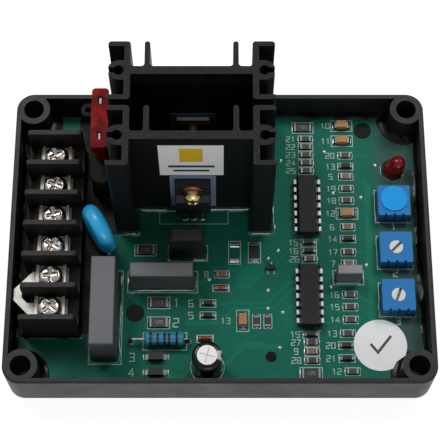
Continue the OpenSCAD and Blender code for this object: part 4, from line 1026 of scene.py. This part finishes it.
        bare, half = self.footprint(), Vector((1.75, 3.6, 0))
        outline(bm, bare - half, bare + half, 0, line, z)

    def footprint(self):
        """Middle of the footprint that is left bare, beside the upright resistor."""
        upright = [b for b in solids("large_chip_resistors") if b[1].y - b[0].y > b[1].x - b[0].x][0]
        return centre(upright) - Vector((5.9, 0, 0))

    def solder(self, bm):
        """Fillets at the chips' metal ends and cones round the leads."""
        bodies = centres("chip_resistors", "large_chip_resistors", "ceramic_capacitors", "tantalum_capacitors")
        for lo, hi in solids("chip_ends"):
            at = (lo + hi) / 2
            owner = min(bodies, key=lambda c: (c - at).length)
            gap = (at - owner).xy
            across_x = abs(gap.x) > abs(gap.y)
            away = Vector((math.copysign(1, gap.x), 0) if across_x else (0, math.copysign(1, gap.y)))
            across = hi.y - lo.y if away.x else hi.x - lo.x
            edge = at.xy + away * ((hi.x - lo.x) / 2 if away.x else (hi.y - lo.y) / 2)
            solder_wedge(bm, edge.x, edge.y, away, 0.7, across + 0.3, min(0.6, hi.z - lo.z))
        diodes = centres("chip_diodes", "power_diodes", "glass_diodes")
        for lo, hi in solids("diode_leads"):
            at = (lo + hi) / 2
            owner = min(diodes, key=lambda c: (c - at).length)
            away = Vector((math.copysign(1, (at - owner).x), 0))
            edge = at.x + away.x * (hi.x - lo.x) / 2
            solder_wedge(bm, edge, at.y, away, 0.6, hi.y - lo.y + 0.4, 0.3)
        half_pin, half_wire, foot_in = 0.125, 0.35, 0.35
        axis = middle("rear_amplifier").x
        for lo, hi in solids("amplifier_pins"):
            at = (lo + hi) / 2
            solder_cone(bm, hi.x - half_pin if at.x >= axis else lo.x + half_pin, at.y, 0.6, 0.25, 0.35)
        for at in centres("thyristor_leads"):
            solder_cone(bm, at.x, at.y, 1.05, 0.5, 0.55)
        for lo, hi in solids("component_leads"):
            if hi.z > BOARD_TOP + 0.5 and hi.x - lo.x < 1:
                solder_cone(bm, (lo.x + hi.x) / 2, (lo.y + hi.y) / 2, 1.0, 0.4, 0.5)
            elif hi.z > BOARD_TOP + 0.5:
                x = lo.x + half_wire if hi.x < middle("power_resistor").x else hi.x - half_wire
                solder_cone(bm, x, (lo.y + hi.y) / 2, 1.05, 0.4, 0.5)
        lo, hi = box("signal_transistor")
        mid = (lo + hi) / 2
        for dx, side in ((-0.95, -1), (0.95, -1), (0, 1)):
            y = hi.y - foot_in if side > 0 else lo.y + foot_in
            solder_wedge(bm, mid.x + dx, y, Vector((0, side)), 0.9, 0.9, 0.35)

    def vias(self, bm):
        """Plated holes between the board's sides, and the pads of the bare footprint."""
        bare = self.footprint()
        for side in (-1, 1):
            y = bare.y + side * 2.4
            strip(bm, [(bare.x - 1.35, y), (bare.x + 1.35, y)], 0.9, BOARD_TOP, shoulder=0.15, rise=0.12)
        profile = [(r, BOARD_TOP + z) for r, z in ((0.55, 0.02), (0.45, 0.1), (0.25, 0.18), (0.02, 0.2))]
        for x, y in (
            (14.2, -4.3), (17.2, -1.8), (14.1, -14.3), (14, -19.9), (18.3, -21.1), (17.3, -31.9), (-3.2, -10.9),
            (34, 16.7), (42.4, 15.3), (47.1, 25.9), (43.2, -6.4), (32.6, -13.2), (31.8, 30.4), (18.4, 27.5),
        ):
            turned(bm, x, y, profile)


class REGULATOR_OT_heatsinks(bpy.types.Operator):
    """Finish the anodised heatsinks, their screws and the label"""

    bl_idname = "regulator.heatsinks"
    bl_label = "Heatsinks"

    def execute(self, context):
        # Painted light: the tops take a lighter colour than the sides, and the rubbed edges a lighter colour that is
        # partly wear and partly painted highlight.
        paint(
            "rear_heatsink front_heatsink", "Black anodised extrusion", tone("anodised"), tone("anodised", 1.5),
            rough=(0.36, 0.5), grain=3600, depth=0.03, stretch=(1, 1, 0.02), patch=260, worn=linear("#55565a"),
            wear=0.4, wear_radius=0.3, dust=0.03, upper=linear("#222223"), specular=0.1,
        )
        dress(tinned_finish(), "heatsink_screws")
        dress(plain("Label film", tone("label"), 0.94), "heatsink_label")
        field = plain("Label colour field", tone("label_field"), 0.92)
        piece("label_field", self.field, field)
        ink = plain("Label ink", linear("#26272a"), 1.5, rough=(0.4, 0.5))
        piece("label_lines", self.lines, ink)
        return {"FINISHED"}

    def field(self, bm):
        self.patch(bm, (0.32, 0.46, 0.68, 0.9))

    def lines(self, bm):
        self.patch(bm, (0.14, 0.27, 0.86, 0.34), (0.22, 0.13, 0.78, 0.19))

    def patch(self, bm, *fields):
        """Printed fields on the label, as shares of its width and height."""
        lo, hi = box("heatsink_label")
        for left, bottom, right, top in fields:
            corners = []
            for across, up in ((left, bottom), (right, bottom), (right, top), (left, top)):
                corners.append((lo.x + (hi.x - lo.x) * across, lo.y - LIFT, lo.z + (hi.z - lo.z) * up))
            bm.faces.new([bm.verts.new(corner) for corner in corners])


class REGULATOR_OT_power_devices(bpy.types.Operator):
    """Finish the power devices, their insulating sheets and brass screws"""

    bl_idname = "regulator.power_devices"
    bl_label = "Power devices"

    def execute(self, context):
        devices = ("rear_thyristor", "front_thyristor", "bridge_rectifier")
        paint(
            "rear_insulator front_insulator", "Insulating sheet", tone("pad"), rough=(0.6, 0.75), grain=2600, depth=0.03
        )
        dress(moulding_finish(), *devices)
        soften(0.25, *devices)
        dress(tinned_finish(), "thyristor_leads")
        # Painted shade darkens the recesses of the brass screws.
        brass = finish(
            "Yellow passivated brass", tone("brass"), tone("brass", 0.8), rough=(0.22, 0.34), metal=1.0, grain=2800,
            depth=0.02, patch=400, crevice=0.8,
        )
        dress(brass, "device_screws", "flat_washers")
        # Painted shade: the spring washers take a much darker copy of the brass, as if in shade between head and
        # washer.
        shaded_brass = tone("brass", 0.3)
        paint(
            "spring_washers", "Dull brass", shaded_brass, shaded(shaded_brass, 0.7), rough=(0.3, 0.45), metal=1.0, depth=0.02,
            crevice=0.8,
        )
        piece("screw_crowns", self.crowns, brass, smooth=True)
        bronze = finish("Bronzed washer", linear("#8a5c44"), rough=(0.25, 0.4), metal=1.0, depth=0.01)
        piece("washer_rims", self.rims, bronze)
        # Painted highlight: a near-white strip stands for light on the end of the rear device's metal tab.
        pale = tone("label")
        piece("device_tab", self.tab, finish("Device tab", pale, pale, rough=(0.3, 0.4), depth=0.01))
        return {"FINISHED"}

    def rims(self, bm):
        """Broad rims of the flat washers."""
        profile, steps = ((3.4, 0.02), (3.4, 0.5), (3.3, 0.6), (1.8, 0.6)), 40
        for lo, hi in solids("flat_washers"):
            at = (lo + hi) / 2
            rows = []
            for r, height in profile:
                rows.append([bm.verts.new((at.x + r * u, hi.y - height, at.z + r * v)) for u, v in circle(steps)])
            skin(bm, rows, around=True)

    def tab(self, bm):
        """End of the metal tab at the top of the rear device, as a near-white strip of painted highlight."""
        inset, back, width = 0.4, 0.8, 1.1
        lo, hi = box("rear_thyristor")
        strip(bm, [(lo.x + inset, hi.y - back), (hi.x - inset, hi.y - back)], width, hi.z + LIFT)

    def crowns(self, bm):
        """Domed faces with cross recesses on the device screws."""
        rise, inset, depth = 1.1, 0.15, 0.9
        for lo, hi in solids("device_screws"):
            face = Vector(((lo.x + hi.x) / 2, lo.y, (lo.z + hi.z) / 2))
            crown(
                bm, (hi.x - lo.x) / 2 - inset, lambda share: rise * (1 - share**2.4) - inset, depth, 0,
                lambda u, v, height: face + Vector((u, -height, v)),
            )


class REGULATOR_OT_terminals(bpy.types.Operator):
    """Finish the barrier strip, its clamps, screws and link"""

    bl_idname = "regulator.terminals"
    bl_label = "Terminal strip"

    def execute(self, context):
        # Painted light: the tops of the barriers take a lighter colour than their sides.
        paint(
            "terminal_block", "Barrier moulding", tone("strip"), tone("strip", 1.25), rough=(0.5, 0.62), grain=3600,
            depth=0.02, worn=linear("#4c4d50"), wear=0.3, wear_radius=0.25, dust=0.03, upper=linear("#2d2c2b"),
            specular=0.2,
        )
        soften(0.2, "terminal_block", "fuse_holder")
        metal = {"grain": 2600, "depth": 0.02, "patch": 300}
        # Painted shade darkens the recesses of the screws and the pressed plates.
        plate = finish(
            "Nickel plate", tone("nickel", 0.62), tone("nickel", 0.5), rough=(0.16, 0.28), metal=1.0, crevice=1.3,
            **metal,
        )
        dress(plate, "terminal_screws")
        piece("terminal_crowns", self.crowns, plate, smooth=True)
        paint(
            "terminal_plates terminal_clamps", "Pressed nickel", tone("nickel", 0.62), tone("nickel", 0.52),
            rough=(0.36, 0.5), metal=0.9, crevice=0.5, **metal,
        )
        link = linear("#c0bdb6")
        paint("jumper_link", "Satin nickel", link, shaded(link, 0.9), rough=(0.42, 0.55), metal=0.7, **metal)
        return {"FINISHED"}

    def crowns(self, bm):
        """Broad faces with cross recesses on the terminal screws, each at its own turn."""
        overhang, depth, first_turn, next_turn = 0.35, 0.95, 25, 40
        for i, (lo, hi) in enumerate(solids("terminal_screws")):
            face = Vector(((lo.x + hi.x) / 2, (lo.y + hi.y) / 2, hi.z))
            crown(
                bm, (hi.x - lo.x) / 2 + overhang, lambda share: 0.95 - 0.5 * share**2 - 1.4 * share**10, depth,
                first_turn + next_turn * i, lambda u, v, height: face + Vector((u, v, height)),
            )


class REGULATOR_OT_fuse(bpy.types.Operator):
    """Finish the tinted fuse, its blades and its socket"""

    bl_idname = "regulator.fuse"
    bl_label = "Fuse"

    def execute(self, context):
        paint(
            "fuse_holder", "Fuse socket", tone("strip"), tone("strip", 1.3), rough=(0.42, 0.55), grain=3600, depth=0.02,
            specular=0.08,
        )
        paint(
            "fuse_body", "Tinted fuse body", tone("fuse"), rough=(0.1, 0.18), grain=700, depth=0.03, specular=0.1,
            clear=0.15, base=self.tinted,
        )
        soften(0.25, "fuse_body")
        dress(solder_finish(), "fuse_blades", "fuse_clips")
        return {"FINISHED"}

    def tinted(self, tree):
        """Clear red with a painted highlight round the blades and in streaks, deep at the ends, and painted shade down
        the sides.
        """
        at = position(tree)
        y = axes(tree, at)["Y"]
        ys = [c.y * MM for c in centres("fuse_blades")]
        off = [maths(tree, "ABSOLUTE", maths(tree, "SUBTRACT", y, blade)) for blade in (min(ys), max(ys))]
        # Painted highlight round the blades and in noise streaks.
        near = ranged(tree, maths(tree, "MINIMUM", *off), 0.5 * MM, 4.2 * MM, 0.22, 0.0)
        glow = ranged(tree, maths(tree, "ADD", near, cloud(tree, at, 300.0, 2.0)), 0.42, 0.86)
        # Painted light on the top and painted shade down the sides.
        top = mixed(tree, glow, tone("fuse", 0.42), tone("fuse", 1.5))
        side = mixed(tree, glow, tone("fuse", 0.16), tone("fuse", 0.9))
        return mixed(tree, effect(tree, "upward")["Mask"], side, top)


class REGULATOR_OT_large_parts(bpy.types.Operator):
    """Finish the capacitors, the varistor, the wire resistor and the lamp"""

    bl_idname = "regulator.large_parts"
    bl_label = "Boxes and cans"

    def execute(self, context):
        grey = tone("film")
        moulded = {"grain": 3000, "depth": 0.02, "wear": 0.25, "dust": 0.03}
        # Painted shade: the sides of the boxes take darker copies of the grey and the tops the grey itself, as if lit
        # from above.
        paint(
            "large_film_capacitor medium_film_capacitor", "Capacitor box", shaded(grey, 0.42), shaded(grey, 0.5),
            rough=(0.4, 0.5), worn=shaded(grey, 1.4), upper=grey, specular=0.35, **moulded,
        )
        pale = shaded(grey, 2.1)
        paint(
            "small_film_capacitor", "Small capacitor box", shaded(pale, 0.4), shaded(pale, 0.48), rough=(0.3, 0.4),
            worn=shaded(pale, 1.3), upper=pale, specular=0.4, **moulded,
        )
        paint(
            "varistor", "Dipped varistor", tone("varistor"), tone("varistor", 0.88), rough=(0.28, 0.4), grain=350,
            depth=0.12, coat=0.15,
        )
        paint(
            "power_resistor", "Banded lacquer", tone("resistor"), rough=(0.28, 0.4), grain=900, depth=0.03,
            specular=0.3, base=self.banded,
        )
        can = linear("#cfcfce")
        drawn = finish(
            "Drawn can", can, shaded(can, 0.75), rough=(0.3, 0.45), metal=1.0, grain=3000, depth=0.01, patch=500
        )
        dress(drawn, "electrolytic_can")
        piece("can_face", self.face, drawn)
        # Painted shade: dark strips where the scored grooves would be shaded.
        piece("can_score", self.score, solder_finish())
        paint(
            "electrolytic_sleeve", "Shrunk sleeve", linear("#17171a"), rough=(0.12, 0.2), grain=900, depth=0.02,
            specular=0.25, base=self.striped,
        )
        lamp = finish(
            "Tinted lamp", tone("lamp"), tone("lamp", 0.8), rough=(0.08, 0.14), grain=500, depth=0.01, specular=0.2,
            clear=0.15,
        )
        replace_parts(piece("lamp_lens", self.lens, lamp, smooth=True), "indicator_led")
        dress(tinned_finish(), "component_leads")
        return {"FINISHED"}

    def face(self, bm):
        """Bare end of the can inside the sleeve's rolled edge."""
        at, top = middle("electrolytic_can"), box("electrolytic_sleeve")[1].z
        turned(bm, at.x, at.y, [(2.95, top - 0.1), (2.85, top + 0.03), (0.02, top + 0.05)], steps=32)

    def score(self, bm):
        """A cross scored in the can's end, where it would burst, drawn as dark strips of painted shade where its
        grooves would be.
        """
        reach, width, lift, apart = 2.2, 0.16, 0.07, 1e-4
        at, top = middle("electrolytic_can"), box("electrolytic_sleeve")[1].z
        for degrees in (-15, 75):
            out = Vector((math.cos(math.radians(degrees)), math.sin(math.radians(degrees))))
            strip(bm, [at.xy - out * reach, at.xy + out * reach], width, top + lift + degrees * apart)

    def lens(self, bm):
        """A short lens on a broad flange, which leans to the right."""
        radius, shoulder, lean, steps = 2.45, 4.4, 0.2, 8
        lo, hi = box("indicator_led")
        flange = (hi.y - lo.y) / 2
        profile = [(flange, 0), (flange, 0.9), (flange - 0.4, 1.25), (2.5, 1.9), (radius, shoulder)]
        for i in range(1, steps + 1):
            a = math.radians(89.5 * i / steps)
            profile.append((radius * math.cos(a), shoulder + radius * math.sin(a)))
        turned(bm, lo.x + flange, lo.y + flange, [(r, BOARD_TOP + z) for r, z in profile], steps=32)
        for v in bm.verts:
            v.co.x += lean * (v.co.z - BOARD_TOP)

    def striped(self, tree):
        """Dark film with the pale stripe and dashes that mark one lead."""
        stripe_half, dash_half, dashes, dash_share = 0.38, 0.15, 420.0, 0.45
        dark, pale = linear("#0c0c0e"), linear("#b4b7bb")
        at = middle("electrolytic_sleeve") * MM
        x, y, z = axes(tree, position(tree))
        around = maths(tree, "ARCTAN2", maths(tree, "SUBTRACT", y, at.y), maths(tree, "SUBTRACT", x, at.x))
        off = maths(tree, "ABSOLUTE", around)
        stripe = maths(tree, "LESS_THAN", off, stripe_half)
        dash = maths(tree, "LESS_THAN", maths(tree, "FRACT", maths(tree, "MULTIPLY", z, dashes)), dash_share)
        dash = maths(tree, "MULTIPLY", dash, maths(tree, "LESS_THAN", off, dash_half))
        return mixed(tree, dash, mixed(tree, stripe, dark, pale), dark)

    def banded(self, tree):
        """Lacquer with colour bands across the wire resistor's body."""
        band_width = 0.062
        bands = ((0.12, "#23262b"), (0.3, "#27282c"), (0.47, "#17181b"), (0.585, "#2a2320"), (0.78, "#1d2730"))
        lo, hi = box("power_resistor")
        blue = tone("resistor")
        ramp = put(tree, "ShaderNodeValToRGB", {0: ranged(tree, axes(tree, position(tree))["X"], lo.x * MM, hi.x * MM)})
        ramp.color_ramp.interpolation = "CONSTANT"
        stops = [(0.0, blue)]
        for at, band in bands:
            stops += [(at, linear(band)), (at + band_width, blue)]
        elements = ramp.color_ramp.elements
        for i, (at, shade) in enumerate(stops):
            stop = elements.new(at) if i else elements[0]
            stop.position = at
            stop.color = (*shade, 1)
        elements.remove(elements[-1])
        return ramp.outputs[0]


class REGULATOR_OT_amplifiers(bpy.types.Operator):
    """Finish the dual in-line amplifiers and their pins"""

    bl_idname = "regulator.amplifiers"
    bl_label = "Amplifiers"

    def execute(self, context):
        amplifiers = ("rear_amplifier", "front_amplifier")
        dress(moulding_finish("Amplifier moulding", 0.45, (0.34, 0.44), 0.2), *amplifiers)
        soften(0.15, *amplifiers)
        dress(tinned_finish(), "amplifier_pins")
        return {"FINISHED"}


class REGULATOR_OT_trimmers(bpy.types.Operator):
    """Finish the trimmers, their rotors and the sealing disc"""

    bl_idname = "regulator.trimmers"
    bl_label = "Trimmers"

    def execute(self, context):
        # Painted shade: the sides take a darker copy of the blue and the tops the blue itself, as if lit from above.
        moulding = finish(
            "Trimmer moulding", tone("trimmer", 0.55), tone("trimmer", 0.65), rough=(0.3, 0.42), grain=3000, depth=0.02,
            worn=tone("trimmer", 1.5), wear=0.25, upper=tone("trimmer"), specular=0.2,
        )
        dress(moulding, *TRIMMERS)
        soften(0.15, *TRIMMERS)
        # Painted shade darkens the rotors' slots.
        paint(
            "frequency_rotor stability_rotor voltage_rotor", "Rotor moulding", tone("rotor"), tone("rotor", 0.92),
            rough=(0.4, 0.5), grain=2500, depth=0.015, crevice=1.4,
        )
        soften(0.1, "stability_rotor", "voltage_rotor")
        paint(
            "trimmer_seal", "Sealing disc", tone("seal"), tone("seal", 0.92), rough=(0.3, 0.4), grain=800, depth=0.02,
            specular=0.15,
        )
        soften(0.15, "trimmer_seal")
        dress(tinned_finish(), "trimmer_pins")
        return {"FINISHED"}


class REGULATOR_OT_chips(bpy.types.Operator):
    """Finish the surface parts and the inspection sticker"""

    bl_idname = "regulator.chips"
    bl_label = "Surface parts"

    def execute(self, context):
        glaze = linear("#110f0e")
        paint(
            "chip_resistors large_chip_resistors", "Chip glaze", glaze, shaded(glaze, 1.4), rough=(0.24, 0.36),
            grain=2500, depth=0.01, coat=0.1,
        )
        numbers = finish("Chip print", linear("#7c7a78"), rough=(0.5, 0.6), grain=2500, depth=0.01)
        piece("chip_numbers", self.numbers, numbers)
        dress(solder_finish(), "chip_ends", "diode_leads")
        for node, name, key, by in (
            ("tantalum_capacitors", "Tantalum moulding", "tantalum", 0.85),
            ("ceramic_capacitors", "Fired ceramic", "ceramic", 1.2),
        ):
            paint(node, name, tone(key), tone(key, by), rough=(0.4, 0.5), grain=2500, depth=0.02)
        dress(moulding_finish(), "chip_diodes", "power_diodes", "signal_transistor")
        amber = linear("#b5482c")
        paint(
            "glass_diodes", "Amber glass", amber, shaded(amber, 0.8), rough=(0.08, 0.14), grain=900, depth=0.005,
            clear=0.4,
        )
        dress(plain("Sticker film", tone("label"), 0.95), "inspection_sticker")
        ink = plain("Sticker ink", linear("#2b2c30"), 1.4, rough=(0.4, 0.5), grain=2500)
        piece("sticker_mark", self.mark, ink)
        return {"FINISHED"}

    def numbers(self, bm):
        """Plain numbers on the large chips that lie across."""
        first, step, tall, line = 100, 5, 0.95, 0.16
        for i, (lo, hi) in enumerate(solids("large_chip_resistors")):
            if hi.x - lo.x > hi.y - lo.y:
                number(bm, first + step * i, (lo.x + hi.x) / 2, (lo.y + hi.y) / 2, tall, line, hi.z + LIFT)

    def mark(self, bm):
        """A plain tick."""
        at = middle("inspection_sticker")
        points = [(at.x - 2.8, at.y + 0.4), (at.x - 0.8, at.y - 2.2), (at.x + 3.2, at.y + 2.8)]
        strip(bm, points, 0.8, box("inspection_sticker")[1].z + LIFT)


class REGULATOR_PT_panel(bpy.types.Panel):
    """Sidebar panel with the module's steps and settings"""

    bl_idname = "REGULATOR_PT_panel"
    bl_label = "Voltage regulator"
    bl_space_type = "VIEW_3D"
    bl_region_type = "UI"
    bl_category = "Regulator"

    def draw(self, context):
        for step in STEPS:
            self.layout.operator(step.bl_idname)
        for settings in ("regulator_sizes", "regulator_colours", "regulator_stage"):
            group = getattr(context.scene, settings)
            for key in group.__annotations__:
                self.layout.prop(group, key)


STEPS = (
    REGULATOR_OT_stage,
    REGULATOR_OT_tray,
    REGULATOR_OT_board,
    REGULATOR_OT_heatsinks,
    REGULATOR_OT_power_devices,
    REGULATOR_OT_terminals,
    REGULATOR_OT_fuse,
    REGULATOR_OT_large_parts,
    REGULATOR_OT_amplifiers,
    REGULATOR_OT_trimmers,
    REGULATOR_OT_chips,
)
SETTINGS = (RegulatorColours, RegulatorSizes, RegulatorStage)


def register():
    for kind in (*SETTINGS, *STEPS, REGULATOR_PT_panel):
        bpy.utils.register_class(kind)
    bpy.types.Scene.regulator_colours = bpy.props.PointerProperty(type=RegulatorColours)
    bpy.types.Scene.regulator_sizes = bpy.props.PointerProperty(type=RegulatorSizes)
    bpy.types.Scene.regulator_stage = bpy.props.PointerProperty(type=RegulatorStage)


def unregister():
    del bpy.types.Scene.regulator_stage
    del bpy.types.Scene.regulator_sizes
    del bpy.types.Scene.regulator_colours
    for kind in (REGULATOR_PT_panel, *reversed(STEPS), *reversed(SETTINGS)):
        bpy.utils.unregister_class(kind)


def main():
    register()
    bpy.ops.regulator.stage()
    bpy.ops.regulator.tray()
    bpy.ops.regulator.board()
    bpy.ops.regulator.heatsinks()
    bpy.ops.regulator.power_devices()
    bpy.ops.regulator.terminals()
    bpy.ops.regulator.fuse()
    bpy.ops.regulator.large_parts()
    bpy.ops.regulator.amplifiers()
    bpy.ops.regulator.trimmers()
    bpy.ops.regulator.chips()


if __name__ == "__main__":
    main()
